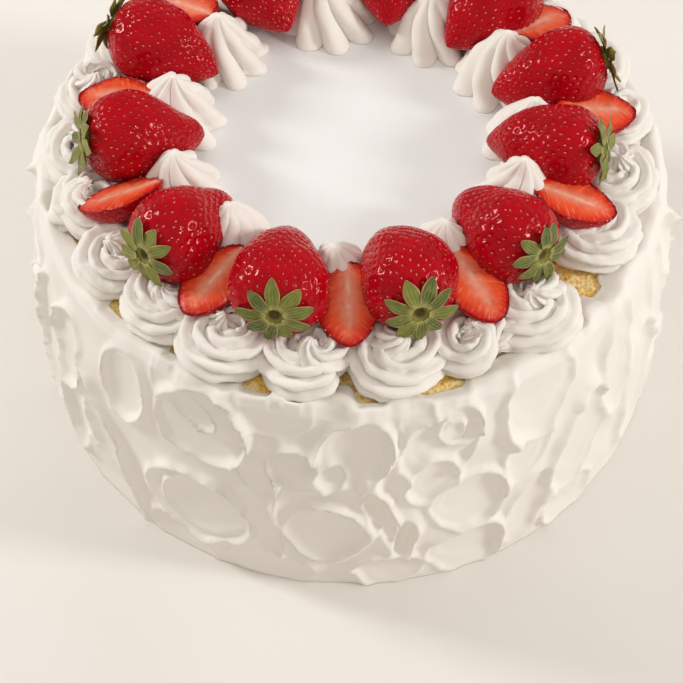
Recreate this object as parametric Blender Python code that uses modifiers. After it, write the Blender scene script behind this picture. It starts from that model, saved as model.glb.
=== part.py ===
"""Cream sponge cake: an uncut round sponge in whipped cream, with piped cream and strawberries on top.

Metres, +Z up, origin at the centre of the underside, the side that was photographed towards -Y.
Angles are azimuths in degrees, anticlockwise from +X as seen from above.
"""

import math
import random

import bmesh
import bpy
from mathutils import Matrix, Vector

MM = 0.001
# Clearance that is left between any two pieces
GAP = 0.3 * MM

# Sponge: a 200 mm tin gives the diameter
SPONGE_RADIUS = 100 * MM
SPONGE_HEIGHT = 91 * MM
SPONGE_SIDES = 72

# Coat of cream round the side, thinner towards the rounded top edge, its rim folded over the sponge
COAT_RADIUS = 109.3 * MM
COAT_FOOT_TUCK = 1.2 * MM
COAT_FOOT_SHARE = 0.12
COAT_SHOULDER_TUCK = 6.5 * MM
COAT_SHOULDER_START = 0.3
COAT_HEIGHT = 94 * MM
COAT_INNER_RADIUS = SPONGE_RADIUS + GAP
COAT_LEAST = 2.0 * MM
COAT_RIM_RADIUS = 101.3 * MM
COAT_LIP_RADIUS = 98.8 * MM
COAT_LIP_DROP = 1.2 * MM
COAT_RIM_SWELL = 0.7 * MM
COAT_WAVES = (5, 9, 14, 23)
COAT_WAVE_SIZE = (0.3, 1.0)
COAT_COLUMNS = 72
COAT_ROWS = 11

# Strokes of the palette knife in the coat
STROKE_DEPTH = 3.4 * MM
STROKE_LIP = 1.5 * MM
STROKE_LIP_WIDTH = 0.2
STROKE_LIP_PLACE = 1.05
STROKE_LIP_SKEW = 0.5
STROKE_LIP_CAP = 1.2
# Where a stroke stops to wipe out the strokes below it, as shares of its half size
STROKE_EDGE = (0.8, 1.1)
STROKE_REACH = 1.6
# The strokes fade out towards the rim
STROKE_FADE = 0.75
STROKE_FADE_START = 0.86
# Places of the strokes on the side that was not photographed
REST_STROKE_COLUMNS = 16
REST_STROKE_LEVELS = (16, 46, 76)
REST_STROKE_ARC = (345, 560)
REST_STROKE_WANDER = 6
REST_STROKE_HALF_WIDTH = (11, 17)
REST_STROKE_HALF_HEIGHT = (14, 25)
REST_STROKE_TILT = 30

# Smooth sheet of cream on top of the sponge
SHEET_RADIUS = 72 * MM
SHEET_THICKNESS = 5 * MM
SHEET_SIDES = 40
SHEET_BOTTOM = SPONGE_HEIGHT + GAP
SHEET_TOP = SHEET_BOTTOM + SHEET_THICKNESS

# Strawberries: whole fruit lying with the tip to the middle
FRUIT_LENGTH = 39.5 * MM
FRUIT_WIDTH = 29 * MM
FRUIT_PITCH = 13
# How far its middle lies above the sheet, as a share of its width
FRUIT_REST = 0.51
# The widest place, as a share of the length from the leafy end
FRUIT_WIDEST = 0.36
FRUIT_BLUNTNESS = 0.66
FRUIT_SEGMENTS = 12
FRUIT_RINGS = 7
# The dents that fruit leaves in cream are coarser, so they stand this far off
PLACE_CLEARANCE = 1.5 * MM
PLACE_SEGMENTS = 8
PLACE_RINGS = 6

# Crown of green leaves on each whole fruit
CROWN_LEAVES = 8
CROWN_HUB_RADIUS = 3.4 * MM
CROWN_LEAF_REACH = 12 * MM
CROWN_LEAF_WIDTH = 4.2 * MM
CROWN_LEAF_BELLY = 0.56
CROWN_LEAF_LEAST = 0.84
CROWN_THICKNESS = 0.9 * MM
CROWN_WAVE = 1.5 * MM
CROWN_DIP = 1.0 * MM
CROWN_PLACE_RADIUS = CROWN_LEAF_REACH + 1.0 * MM
CROWN_PLACE_LIFT = 0.6 * MM

# Halves: cut face up, tip outwards, tucked between the whole fruit
HALF_LENGTH = 28 * MM
HALF_WIDTH = 19.5 * MM
HALF_DEPTH = 8.5 * MM
HALF_FACE_HEIGHT = 110 * MM
HALF_SLOPE = 14
HALF_SPREAD = (0.95, 1.05)

# Piped cream: tall drops round the middle, lower rosettes along the edge
RIDGES = 6
RIDGE_DEPTH = 0.11
PIPED_RINGS = 5
PIPED_BELLY = 0.1
PIPED_POINT = 0.8
DROP_RING_RADIUS = 59 * MM
DROP_FOOT_RADIUS = 12.3 * MM
DROP_HEIGHT = 23 * MM
DROP_TAPER = 1.5
DROP_CELL = 17
DROP_RADIUS_SPREAD = (0.94, 1.05)
DROP_HEIGHT_SPREAD = (0.92, 1.04)
DROP_TWIST = (0.2, 0.7)
ROSETTE_RING_RADIUS = 85.5 * MM
ROSETTE_FOOT_RADIUS = 13.4 * MM
ROSETTE_HEIGHT = 16 * MM
ROSETTE_TAPER = 2.3
ROSETTE_RADIUS_SPREAD = (0.97, 1.05)
ROSETTE_HEIGHT_SPREAD = (0.92, 1.06)
ROSETTE_TWIST = (0.5, 1.1)
ROSETTE_INNER_LIMIT = SHEET_RADIUS + 2 * GAP
ROSETTE_OUTER_LIMIT = COAT_LIP_RADIUS - GAP

# Each whole fruit: azimuth, distance of its middle from the axis in mm, yaw off the radial line, size
WHOLE_FRUIT = (
    (153, 68.5, 5, 1.00),
    (188, 66.0, 6, 1.00),
    (223.5, 68.0, 6, 0.99),
    (252.6, 68.0, 12, 1.02),
    (283.8, 66.5, -1, 1.01),
    (313.8, 65.0, -3, 0.99),
    (348, 62.5, -6, 0.98),
    (375.5, 67.0, -4, 0.99),
    (406, 67.0, -3, 1.00),
    (437, 66.5, 2, 0.98),
    (477, 67.0, 5, 1.00),
)

# Each half: azimuth, distance of its middle from the axis in mm, yaw, and roll about its length
HALF_FRUIT = (
    (137, 77.5, 4, 0),
    (172, 76.5, -6, 5),
    (204, 78.5, -12, 25),
    (238, 77.5, -8, 6),
    (269.5, 75, 2, 0),
    (299, 77, 2, -5),
    (334, 77.5, 12, -5),
    (363, 79.5, 8, 0),
    (395, 77.5, 8, 0),
    (422, 77.5, 0, 5),
    (458, 77.5, 0, -5),
)

# One drop between each two whole fruit
DROP_AZIMUTHS = (137, 170, 202, 231, 266, 299, 332, 361, 391, 421, 457)
# The rosettes of the front, as piped, and the number that fills the rest of the circle
ROSETTE_FRONT_AZIMUTHS = (213, 229, 244.5, 262, 279.5, 295, 310, 329, 344, 360)
ROSETTE_REST = 12
ROSETTE_WANDER = 0.8

# Strokes on the side that was photographed: azimuth, height, half width and half height in mm, tilt
FRONT_STROKES = (
    (203, 50, 12, 34, 0),
    (211, 40, 13, 18, 0),
    (222, 33, 9, 34, 22),
    (222, 8, 12, 24, 45),
    (227, 72, 13, 20, 0),
    (236, 88, 7, 15, 0),
    (244, 77, 17, 19, 0),
    (241, 8, 18, 12, -10),
    (243, 37, 20, 21, 0),
    (254, 45, 7, 16, 0),
    (258, 84, 9, 11, 30),
    (260, 66, 7, 15, 0),
    (258, 10, 15, 9, -12),
    (270, 76, 13, 18, -15),
    (266, 34, 15, 18, 0),
    (277, 42, 6, 26, 0),
    (277, 10, 14, 10, 0),
    (282, 84, 8, 13, 0),
    (287, 84, 8, 11, 0),
    (285, 55, 12, 15, 0),
    (290, 43, 14, 16, -15),
    (290, 17, 14, 16, 0),
    (297, 80, 6, 20, 0),
    (304, 78, 16, 23, -20),
    (303, 36, 7, 24, -20),
    (306, 9, 16, 12, 30),
    (315, 36, 14, 30, -14),
    (323, 66, 8, 30, 0),
    (331, 40, 10, 32, 0),
)

SEED = 11


def start_empty():
    """Remove what the file holds, so that only the cake is in it."""
    for item in list(bpy.data.objects):
        bpy.data.objects.remove(item, do_unlink=True)


def make_collection(name):
    """Make a collection under the scene's own."""
    collection = bpy.data.collections.new(name)
    bpy.context.scene.collection.children.link(collection)
    return collection


def make_material(name, colour, roughness, subsurface=0.0):
    """Make a Principled material from a linear colour."""
    material = bpy.data.materials.new(name)
    material.use_nodes = True
    shader = material.node_tree.nodes["Principled BSDF"]
    shader.inputs["Base Color"].default_value = (*colour, 1.0)
    shader.inputs["Roughness"].default_value = roughness
    shader.inputs["Metallic"].default_value = 0.0
    shader.inputs["Subsurface Weight"].default_value = subsurface
    return material


def add_object(name, form, collection, materials):
    """Turn a closed bmesh into a triangulated object with smooth shading and its faces outwards."""
    bmesh.ops.triangulate(form, faces=form.faces)
    if form.calc_volume(signed=True) < 0:
        bmesh.ops.reverse_faces(form, faces=form.faces)
    mesh = bpy.data.meshes.new(name)
    form.to_mesh(mesh)
    form.free()
    mesh.shade_smooth()
    mesh.set_sharp_from_angle(angle=math.radians(50))
    for material in materials:
        mesh.materials.append(material)
    item = bpy.data.objects.new(name, mesh)
    collection.objects.link(item)
    return item


def smoothstep(low, high, value):
    """Rise from 0 to 1 between low and high."""
    share = min(max((value - low) / (high - low), 0.0), 1.0)
    return share * share * (3 - 2 * share)


def turn_between(first, second):
    """Give the signed angle in degrees from the first azimuth to the second, within half a turn."""
    return (second - first + 180) % 360 - 180


def frame_at(azimuth, radius, height, yaw=0.0, pitch=0.0, roll=0.0):
    """Place a local frame whose +X points outwards, turned by yaw, lifted by pitch and rolled."""
    angle = math.radians(azimuth)
    middle = Vector((radius * math.cos(angle), radius * math.sin(angle), height))
    turn = Matrix.Rotation(angle + math.radians(yaw), 4, "Z")
    lift = Matrix.Rotation(math.radians(-pitch), 4, "Y")
    tip = Matrix.Rotation(math.radians(roll), 4, "X")
    return Matrix.Translation(middle) @ turn @ lift @ tip


def rest_strokes(draw):
    """Spread strokes by a jittered grid over the part of the coat that the list leaves out."""
    first, last = REST_STROKE_ARC
    strokes = []
    for column in range(REST_STROKE_COLUMNS):
        for row, level in enumerate(REST_STROKE_LEVELS):
            share = (column + 0.5 * (row % 2) + draw.uniform(-0.2, 0.2)) / REST_STROKE_COLUMNS
            azimuth = first + share * (last - first)
            height = level + draw.uniform(-REST_STROKE_WANDER, REST_STROKE_WANDER)
            half_width = draw.uniform(*REST_STROKE_HALF_WIDTH)
            half_height = draw.uniform(*REST_STROKE_HALF_HEIGHT)
            tilt = draw.uniform(-REST_STROKE_TILT, REST_STROKE_TILT)
            strokes.append((azimuth, height, half_width, half_height, tilt))
    draw.shuffle(strokes)
    return strokes


def knife_relief(strokes, azimuth, height):
    """Give how far the coat stands out at a place, after each stroke has cut the ones before it."""
    relief = 0.0
    for centre, level, half_width, half_height, tilt in strokes:
        across = math.radians(turn_between(centre, azimuth)) * COAT_RADIUS / MM
        along = height / MM - level
        slant = math.radians(tilt)
        side = (across * math.cos(slant) + along * math.sin(slant)) / half_width
        rise = (along * math.cos(slant) - across * math.sin(slant)) / half_height
        distance = math.hypot(side, rise)
        if distance > STROKE_REACH:
            continue
        bowl = -STROKE_DEPTH * (1 - min(distance, 1.0) ** 2)
        lip = STROKE_LIP * math.exp(-(((distance - STROKE_LIP_PLACE) / STROKE_LIP_WIDTH) ** 2))
        inside = 1 - smoothstep(*STROKE_EDGE, distance)
        relief = relief * (1 - inside) + bowl * inside + lip * (1 + STROKE_LIP_SKEW * side)
    return min(relief, STROKE_LIP_CAP * STROKE_LIP)


def mean_relief(strokes, azimuth, height):
    """Give the relief as the mean over a cell of the coat's mesh, so that no lip ends in a spike."""
    turn = 360 / COAT_COLUMNS / 4
    rise = COAT_HEIGHT / COAT_ROWS / 4
    samples = [
        knife_relief(strokes, azimuth + turn * across, height + rise * along)
        for across in (-1, 0, 1)
        for along in (-1, 0, 1)
    ]
    return sum(samples) / len(samples)


def coat_radius(height):
    """Give the coat's outer radius without strokes: tucked in at the foot, rounded at the shoulder."""
    share = height / COAT_HEIGHT
    foot = COAT_FOOT_TUCK * (1 - smoothstep(0.0, COAT_FOOT_SHARE, share))
    above = max(share - COAT_SHOULDER_START, 0.0) / (1 - COAT_SHOULDER_START)
    return COAT_RADIUS - foot - COAT_SHOULDER_TUCK * above**2


def make_sponge(collection, material):
    """Make the solid round sponge."""
    form = bmesh.new()
    bmesh.ops.create_cone(
        form,
        cap_ends=True,
        segments=SPONGE_SIDES,
        radius1=SPONGE_RADIUS,
        radius2=SPONGE_RADIUS,
        depth=SPONGE_HEIGHT,
        matrix=Matrix.Translation((0, 0, SPONGE_HEIGHT / 2)),
    )
    add_object("sponge", form, collection, [material])


def coat_section(form):
    """Draw the coat's section: up the outer side, over the rim, and back down inside the lip."""
    lip_foot = SPONGE_HEIGHT + GAP
    places = [(COAT_INNER_RADIUS, 0.0)]
    for row in range(COAT_ROWS + 1):
        height = COAT_HEIGHT * row / COAT_ROWS
        places.append((coat_radius(height), height))
    places.append((COAT_RIM_RADIUS, COAT_HEIGHT + GAP))
    places.append((COAT_LIP_RADIUS, COAT_HEIGHT - COAT_LIP_DROP))
    places.append((COAT_LIP_RADIUS, lip_foot))
    places.append((COAT_INNER_RADIUS, lip_foot))
    points = [form.verts.new((radius, 0, height)) for radius, height in places]
    edges = [form.edges.new(pair) for pair in zip(points, points[1:] + points[:1])]
    return points + edges


def make_coat(collection, material, draw):
    """Spin the coat's section round the sponge and press the knife strokes into its outer face."""
    strokes = rest_strokes(draw) + list(FRONT_STROKES)
    waves = [(count, draw.uniform(0, 360), draw.uniform(*COAT_WAVE_SIZE)) for count in COAT_WAVES]

    form = bmesh.new()
    bmesh.ops.spin(
        form,
        geom=coat_section(form),
        axis=(0, 0, 1),
        cent=(0, 0, 0),
        angle=2 * math.pi,
        steps=COAT_COLUMNS,
        use_merge=True,
    )
    bmesh.ops.remove_doubles(form, verts=form.verts, dist=0.01 * MM)

    for vertex in form.verts:
        radius = math.hypot(vertex.co.x, vertex.co.y)
        height = vertex.co.z
        azimuth = math.degrees(math.atan2(vertex.co.y, vertex.co.x))
        if height > SPONGE_HEIGHT + MM:
            swell = sum(
                size * math.sin(math.radians(count * azimuth + phase))
                for count, phase, size in waves
            )
            vertex.co.z += COAT_RIM_SWELL * swell
        if radius < COAT_RIM_RADIUS + GAP:
            continue
        fade = 1 - STROKE_FADE * smoothstep(STROKE_FADE_START, 1.0, height / COAT_HEIGHT)
        wanted = radius + mean_relief(strokes, azimuth, height) * fade
        new_radius = max(wanted, COAT_INNER_RADIUS + COAT_LEAST)
        vertex.co.x *= new_radius / radius
        vertex.co.y *= new_radius / radius
    add_object("side_cream", form, collection, [material])


def make_sheet(collection, material):
    """Make the smooth sheet of cream that covers the middle of the top."""
    form = bmesh.new()
    bmesh.ops.create_cone(
        form,
        cap_ends=True,
        segments=SHEET_SIDES,
        radius1=SHEET_RADIUS,
        radius2=SHEET_RADIUS,
        depth=SHEET_THICKNESS,
        matrix=Matrix.Translation((0, 0, SHEET_BOTTOM + SHEET_THICKNESS / 2)),
    )
    add_object("top_cream", form, collection, [material])


def fruit_radius_share(share):
    """Give a strawberry's radius against its widest, at a share of the length from the leafy end."""
    bend = math.log(0.5) / math.log(FRUIT_WIDEST)
    return max(math.sin(math.pi * share**bend), 0.0) ** FRUIT_BLUNTNESS


def fruit_form(length, width, grow=0.0):
    """Shape a sphere into a strawberry along X, leafy end at +X, or into the place that it needs."""
    form = bmesh.new()
    bmesh.ops.create_uvsphere(
        form,
        u_segments=PLACE_SEGMENTS if grow else FRUIT_SEGMENTS,
        v_segments=PLACE_RINGS if grow else FRUIT_RINGS,
        radius=1.0,
    )
    for vertex in form.verts:
        share = math.acos(max(-1.0, min(1.0, vertex.co.z))) / math.pi
        ring = math.hypot(vertex.co.x, vertex.co.y)
        reach = 0.0
        if ring > 1e-6:
            reach = (fruit_radius_share(share) * width / 2 + grow) / ring
        place = length / 2 + grow - share * (length + 2 * grow)
        vertex.co = Vector((place, vertex.co.x * reach, vertex.co.y * reach))
    return form


def grow_leaf(form, edge, draw):
    """Extrude a hub's edge into a pointed leaf, widest halfway, bent up or down by a random lift."""
    middle = (edge.verts[0].co + edge.verts[1].co) / 2
    outwards = middle.normalized()
    sideways = Vector((-outwards.y, outwards.x, 0))
    reach = CROWN_LEAF_REACH * draw.uniform(CROWN_LEAF_LEAST, 1.0)
    lift = draw.uniform(-0.4, 1.0) * CROWN_WAVE

    spread = bmesh.ops.extrude_edge_only(form, edges=[edge])["geom"]
    belly = [item for item in spread if isinstance(item, bmesh.types.BMVert)]
    for vertex in belly:
        side = math.copysign(0.5, (vertex.co - middle).dot(sideways))
        vertex.co = outwards * reach * CROWN_LEAF_BELLY + sideways * side * CROWN_LEAF_WIDTH
        vertex.co.z = 0.5 * lift + GAP * side
    far = [
        item
        for item in spread
        if isinstance(item, bmesh.types.BMEdge) and set(item.verts) == set(belly)
    ]
    point = bmesh.ops.extrude_edge_only(form, edges=far)["geom"]
    ends = [item for item in point if isinstance(item, bmesh.types.BMVert)]
    bmesh.ops.pointmerge(form, verts=ends, merge_co=outwards * reach + Vector((0, 0, lift)))


def crown_form(length, draw):
    """Grow a star of leaves out of a small disc, as one sheet across a fruit's leafy end."""
    form = bmesh.new()
    bmesh.ops.create_circle(
        form,
        cap_ends=True,
        cap_tris=True,
        segments=CROWN_LEAVES,
        radius=CROWN_HUB_RADIUS,
    )
    for edge in [edge for edge in form.edges if edge.is_boundary]:
        grow_leaf(form, edge, draw)
    centre = min(form.verts, key=lambda vertex: vertex.co.length)
    centre.co.z -= CROWN_DIP
    stand_up = Matrix.Rotation(math.radians(90), 4, "Y")
    place = Matrix.Translation((length / 2, 0, 0))
    bmesh.ops.transform(form, matrix=place @ stand_up, verts=form.verts)
    return form


def half_form(length, width, depth, grow=0.0):
    """Cut a strawberry lengthwise and keep the lower half, cut face up at z = 0, tip at +X."""
    form = fruit_form(length, width, grow)
    bmesh.ops.rotate(form, verts=form.verts, matrix=Matrix.Rotation(math.pi, 3, "Z"))
    for vertex in form.verts:
        vertex.co.z *= depth / (width / 2)
    cut = bmesh.ops.bisect_plane(
        form,
        geom=form.verts[:] + form.edges[:] + form.faces[:],
        dist=0.01 * MM,
        plane_co=(0, 0, grow),
        plane_no=(0, 0, 1),
        clear_outer=True,
    )
    edges = [item for item in cut["geom_cut"] if isinstance(item, bmesh.types.BMEdge)]
    bmesh.ops.edgeloop_fill(form, edges=edges)
    return form


def evaluate(item):
    """Replace an object's mesh by the mesh that its modifiers give, and drop the modifiers."""
    bpy.context.view_layer.update()
    graph = bpy.context.evaluated_depsgraph_get()
    mesh = bpy.data.meshes.new_from_object(item.evaluated_get(graph))
    item.modifiers.clear()
    item.data = mesh


def body_of(start):
    """Collect the vertices that hang together with one vertex."""
    body = {start}
    front = [start]
    while front:
        vertex = front.pop()
        for edge in vertex.link_edges:
            other = edge.other_vert(vertex)
            if other not in body:
                body.add(other)
                front.append(other)
    return body


def keep_largest_body(item):
    """Drop loose scraps that a cut has left beside the main body."""
    form = bmesh.new()
    form.from_mesh(item.data)
    left = set(form.verts)
    bodies = []
    while left:
        body = body_of(next(iter(left)))
        left -= body
        bodies.append(body)
    bodies.sort(key=len)
    for body in bodies[:-1]:
        bmesh.ops.delete(form, geom=list(body), context="VERTS")
    bmesh.ops.dissolve_degenerate(form, edges=form.edges, dist=0.02 * MM)
    bmesh.ops.triangulate(form, faces=form.faces)
    form.to_mesh(item.data)
    form.free()


def make_cutter(name, form, frame, cutters):
    """Make a hidden object that pieces of cream are cut by."""
    cutter = add_object(name, form, cutters, [])
    cutter.matrix_world = frame
    cutter.hide_render = True
    cutter.display_type = "WIRE"
    return cutter


def join_crown(fruit, crown):
    """Give the crown its thickness and fuse it with its fruit."""
    for face in crown.data.polygons:
        face.material_index = 1
    leaf = crown.modifiers.new("leaf thickness", "SOLIDIFY")
    leaf.thickness = CROWN_THICKNESS
    leaf.offset = 0
    join = fruit.modifiers.new("crown", "BOOLEAN")
    join.operation = "UNION"
    join.object = crown
    evaluate(fruit)
    keep_largest_body(fruit)
    bpy.data.objects.remove(crown, do_unlink=True)


def crown_place_form(length):
    """Make the flat disc of room that a crown needs at the leafy end of its fruit."""
    form = bmesh.new()
    bmesh.ops.create_cone(
        form,
        cap_ends=True,
        segments=PLACE_SEGMENTS,
        radius1=CROWN_PLACE_RADIUS,
        radius2=CROWN_PLACE_RADIUS,
        depth=2 * CROWN_WAVE + CROWN_THICKNESS,
    )
    place = Matrix.Translation((length / 2 + CROWN_PLACE_LIFT, 0, 0))
    place = place @ Matrix.Rotation(math.radians(90), 4, "Y")
    bmesh.ops.transform(form, matrix=place, verts=form.verts)
    return form


def make_whole_fruit(collection, cutters, materials, draw):
    """Make each whole strawberry with its crown, and the cutters that clear a place for it."""
    places = []
    for number, (azimuth, distance, yaw, size) in enumerate(WHOLE_FRUIT, start=1):
        length = FRUIT_LENGTH * size
        width = FRUIT_WIDTH * size
        # The fruit lies on the sheet near its tip and on the rosettes near its crown
        height = SHEET_TOP + GAP + FRUIT_REST * width
        frame = frame_at(azimuth, distance * MM, height, yaw, FRUIT_PITCH)

        name = f"strawberry_{number:02d}"
        fruit = add_object(name, fruit_form(length, width), collection, materials)
        fruit.matrix_world = frame
        crown = add_object(f"{name}_leaves", crown_form(length, draw), cutters, materials)
        crown.matrix_world = frame
        join_crown(fruit, crown)

        outer = fruit_form(length, width, grow=PLACE_CLEARANCE)
        places.append(make_cutter(f"{name}_place", outer, frame, cutters))
        disc = crown_place_form(length)
        places.append(make_cutter(f"{name}_crown_place", disc, frame, cutters))
    return places


def make_half_fruit(collection, cutters, material, whole_places, draw):
    """Make each strawberry half, and the cutters that clear a place for it."""
    places = []
    for number, (azimuth, distance, yaw, roll) in enumerate(HALF_FRUIT, start=1):
        size = draw.uniform(*HALF_SPREAD)
        length = HALF_LENGTH * size
        width = HALF_WIDTH * size
        frame = frame_at(azimuth, distance * MM, HALF_FACE_HEIGHT, yaw, -HALF_SLOPE, roll)
        name = f"strawberry_half_{number:02d}"
        half = add_object(name, half_form(length, width, HALF_DEPTH), collection, [material])
        half.matrix_world = frame
        cut_by_places(half, whole_places)

        outer = half_form(length, width, HALF_DEPTH, grow=PLACE_CLEARANCE)
        places.append(make_cutter(f"{name}_place", outer, frame, cutters))
    return places


def middle_of(item):
    """Give the middle of an object's box in the world."""
    corners = [item.matrix_world @ Vector(corner) for corner in item.bound_box]
    return sum(corners, Vector()) / len(corners)


def cut_by_places(item, places):
    """Cut a piece by the cutters that are near enough to touch it."""
    bpy.context.view_layer.update()
    here = middle_of(item)
    reach = max(item.dimensions) / 2
    near = [
        place
        for place in places
        if (middle_of(place) - here).length < reach + max(place.dimensions) / 2
    ]
    for place in near:
        cut = item.modifiers.new(place.name, "BOOLEAN")
        cut.operation = "DIFFERENCE"
        cut.object = place
    if near:
        evaluate(item)
        keep_largest_body(item)


def piped_form(foot_radius, height, taper, twist):
    """Shape a sphere into piped cream: star-shaped across, twisted, drawn up to a soft point."""
    form = bmesh.new()
    bmesh.ops.create_uvsphere(
        form,
        u_segments=2 * RIDGES,
        v_segments=PIPED_RINGS,
        radius=1.0,
    )
    for vertex in form.verts:
        share = 1 - math.acos(max(-1.0, min(1.0, vertex.co.z))) / math.pi
        ring = math.hypot(vertex.co.x, vertex.co.y)
        if ring < 1e-6:
            vertex.co = Vector((0, 0, height if share > 0.5 else 0))
            continue
        # The lowest ring is the flat foot, and the ones above draw in towards the point
        level = max(0.0, (share * PIPED_RINGS - 1) / (PIPED_RINGS - 1))
        angle = math.atan2(vertex.co.y, vertex.co.x)
        star = 1 + RIDGE_DEPTH * math.sin(RIDGES * angle)
        belly = 1 + PIPED_BELLY * math.sin(math.pi * level)
        outline = (1 - level**taper) ** PIPED_POINT * belly
        radius = foot_radius * outline * star
        angle += twist * level
        vertex.co = Vector((radius * math.cos(angle), radius * math.sin(angle), height * level))
    return form


def keep_in_cell(item, azimuth, half_turns, inner, outer):
    """Flatten a piece of cream where it meets the next ones and the limits of its ring."""
    before, after = half_turns
    for vertex in item.data.vertices:
        place = item.matrix_world @ vertex.co
        radius = min(max(math.hypot(place.x, place.y), inner), outer)
        turn = turn_between(azimuth, math.degrees(math.atan2(place.y, place.x)))
        margin = math.degrees(0.6 * GAP / radius)
        turn = min(max(turn, margin - before), after - margin)
        there = math.radians(azimuth + turn)
        place.x = radius * math.cos(there)
        place.y = radius * math.sin(there)
        vertex.co = item.matrix_world.inverted() @ place


def make_drops(collection, material, places, draw):
    """Pipe the tall drops round the middle, one between each two whole fruit."""
    for number, azimuth in enumerate(DROP_AZIMUTHS, start=1):
        radius = DROP_FOOT_RADIUS * draw.uniform(*DROP_RADIUS_SPREAD)
        height = DROP_HEIGHT * draw.uniform(*DROP_HEIGHT_SPREAD)
        form = piped_form(radius, height, DROP_TAPER, draw.uniform(*DROP_TWIST))
        drop = add_object(f"inner_drop_{number:02d}", form, collection, [material])
        drop.matrix_world = frame_at(azimuth, DROP_RING_RADIUS, SHEET_TOP + GAP)
        bpy.context.view_layer.update()
        keep_in_cell(drop, azimuth, (DROP_CELL, DROP_CELL), 0.0, ROSETTE_INNER_LIMIT - GAP)
        cut_by_places(drop, places)


def rosette_azimuths(draw):
    """List the rosettes' azimuths: those of the front, then the rest of the circle evenly."""
    azimuths = list(ROSETTE_FRONT_AZIMUTHS)
    first = azimuths[-1]
    step = (azimuths[0] + 360 - first) / (ROSETTE_REST + 1)
    for count in range(1, ROSETTE_REST + 1):
        azimuths.append(first + step * count + draw.uniform(-ROSETTE_WANDER, ROSETTE_WANDER))
    return azimuths


def make_rosettes(collection, material, places, draw):
    """Pipe the rosettes along the edge, pressed flat where they meet."""
    azimuths = rosette_azimuths(draw)
    for number, azimuth in enumerate(azimuths, start=1):
        before = turn_between(azimuths[number - 2], azimuth) / 2
        after = turn_between(azimuth, azimuths[number % len(azimuths)]) / 2
        radius = ROSETTE_FOOT_RADIUS * draw.uniform(*ROSETTE_RADIUS_SPREAD)
        height = ROSETTE_HEIGHT * draw.uniform(*ROSETTE_HEIGHT_SPREAD)
        form = piped_form(radius, height, ROSETTE_TAPER, draw.uniform(*ROSETTE_TWIST))
        rosette = add_object(f"outer_rosette_{number:02d}", form, collection, [material])
        frame = frame_at(azimuth, ROSETTE_RING_RADIUS, SPONGE_HEIGHT + GAP)
        rosette.matrix_world = frame @ Matrix.Rotation(draw.uniform(0, 1), 4, "Z")
        bpy.context.view_layer.update()
        limits = (ROSETTE_INNER_LIMIT, ROSETTE_OUTER_LIMIT)
        keep_in_cell(rosette, azimuth, (before, after), *limits)
        cut_by_places(rosette, places)


def main():
    """Build the cake from the sponge outwards and upwards."""
    start_empty()
    draw = random.Random(SEED)
    cake = make_collection("cream_sponge_cake")
    cutters = make_collection("cutters")

    crumb = make_material("golden_sponge", (0.60, 0.36, 0.09), 0.85)
    cream = make_material("whipped_cream", (0.86, 0.82, 0.76), 0.5, 0.2)
    red = make_material("strawberry_skin", (0.47, 0.006, 0.008), 0.28)
    green = make_material("strawberry_leaf", (0.10, 0.17, 0.03), 0.55)
    cut_red = make_material("strawberry_flesh", (0.60, 0.06, 0.03), 0.35)

    make_sponge(cake, crumb)
    make_coat(cake, cream, draw)
    make_sheet(cake, cream)
    whole_places = make_whole_fruit(cake, cutters, [red, green], draw)
    half_places = make_half_fruit(cake, cutters, cut_red, whole_places, draw)
    places = whole_places + half_places
    make_drops(cake, cream, places, draw)
    make_rosettes(cake, cream, places, draw)
    for place in places:
        bpy.data.objects.remove(place, do_unlink=True)


main()
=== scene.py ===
"""Looks of a cream sponge cake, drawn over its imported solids.

An uncut round sponge in whipped cream: knife strokes round the side, a smooth sheet of cream in the
middle of the top, tall piped drops, whole strawberries, strawberry halves and piped rosettes round it.

Lengths are millimetres until a mesh is made, and MM turns them into metres. +Z is up, and the side that
was photographed faces -Y. Azimuths are degrees, anticlockwise from +X as seen from above.
"""

import logging
import math
from dataclasses import dataclass
from dataclasses import field
from enum import Enum
from typing import Any

import bpy
import numpy as np
from mathutils import Matrix
from mathutils import Vector
from mathutils.kdtree import KDTree


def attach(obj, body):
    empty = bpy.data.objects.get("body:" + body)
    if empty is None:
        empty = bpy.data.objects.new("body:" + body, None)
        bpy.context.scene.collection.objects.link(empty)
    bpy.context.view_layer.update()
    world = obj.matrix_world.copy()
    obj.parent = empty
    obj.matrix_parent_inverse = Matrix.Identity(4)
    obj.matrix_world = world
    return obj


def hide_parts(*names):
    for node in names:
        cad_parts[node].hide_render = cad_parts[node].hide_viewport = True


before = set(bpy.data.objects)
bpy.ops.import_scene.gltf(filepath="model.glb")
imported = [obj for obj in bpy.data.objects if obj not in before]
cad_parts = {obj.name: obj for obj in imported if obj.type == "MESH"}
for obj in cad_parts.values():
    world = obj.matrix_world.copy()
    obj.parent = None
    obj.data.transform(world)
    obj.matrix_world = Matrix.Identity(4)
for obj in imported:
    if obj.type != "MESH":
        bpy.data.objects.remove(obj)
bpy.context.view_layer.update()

LOG = logging.getLogger("cream_sponge_cake")

MM = 0.001
GOLDEN_ANGLE = math.pi * (3 - math.sqrt(5))
Array = np.ndarray

# Sizes that several pieces share, in millimetres
SPONGE_RADIUS = 100.0
SPONGE_TOP = 91.0
SHEET_RADIUS = 72.0
SHEET_TOP = 96.3
# How far cream sinks into what it lies on, so that no slit of air shows
CONTACT = 0.15


# Small tools for shapes


def smoothstep(low: float, high: float, value: Array | float) -> Array:
    """Rise smoothly from 0 to 1 between two values.

    Args:
        low: value that gives 0.
        high: value that gives 1.
        value: what is read.

    Returns:
        The share, of the same shape as value.
    """
    share = np.clip((np.asarray(value, dtype=float) - low) / (high - low), 0.0, 1.0)
    return share * share * (3 - 2 * share)


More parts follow.
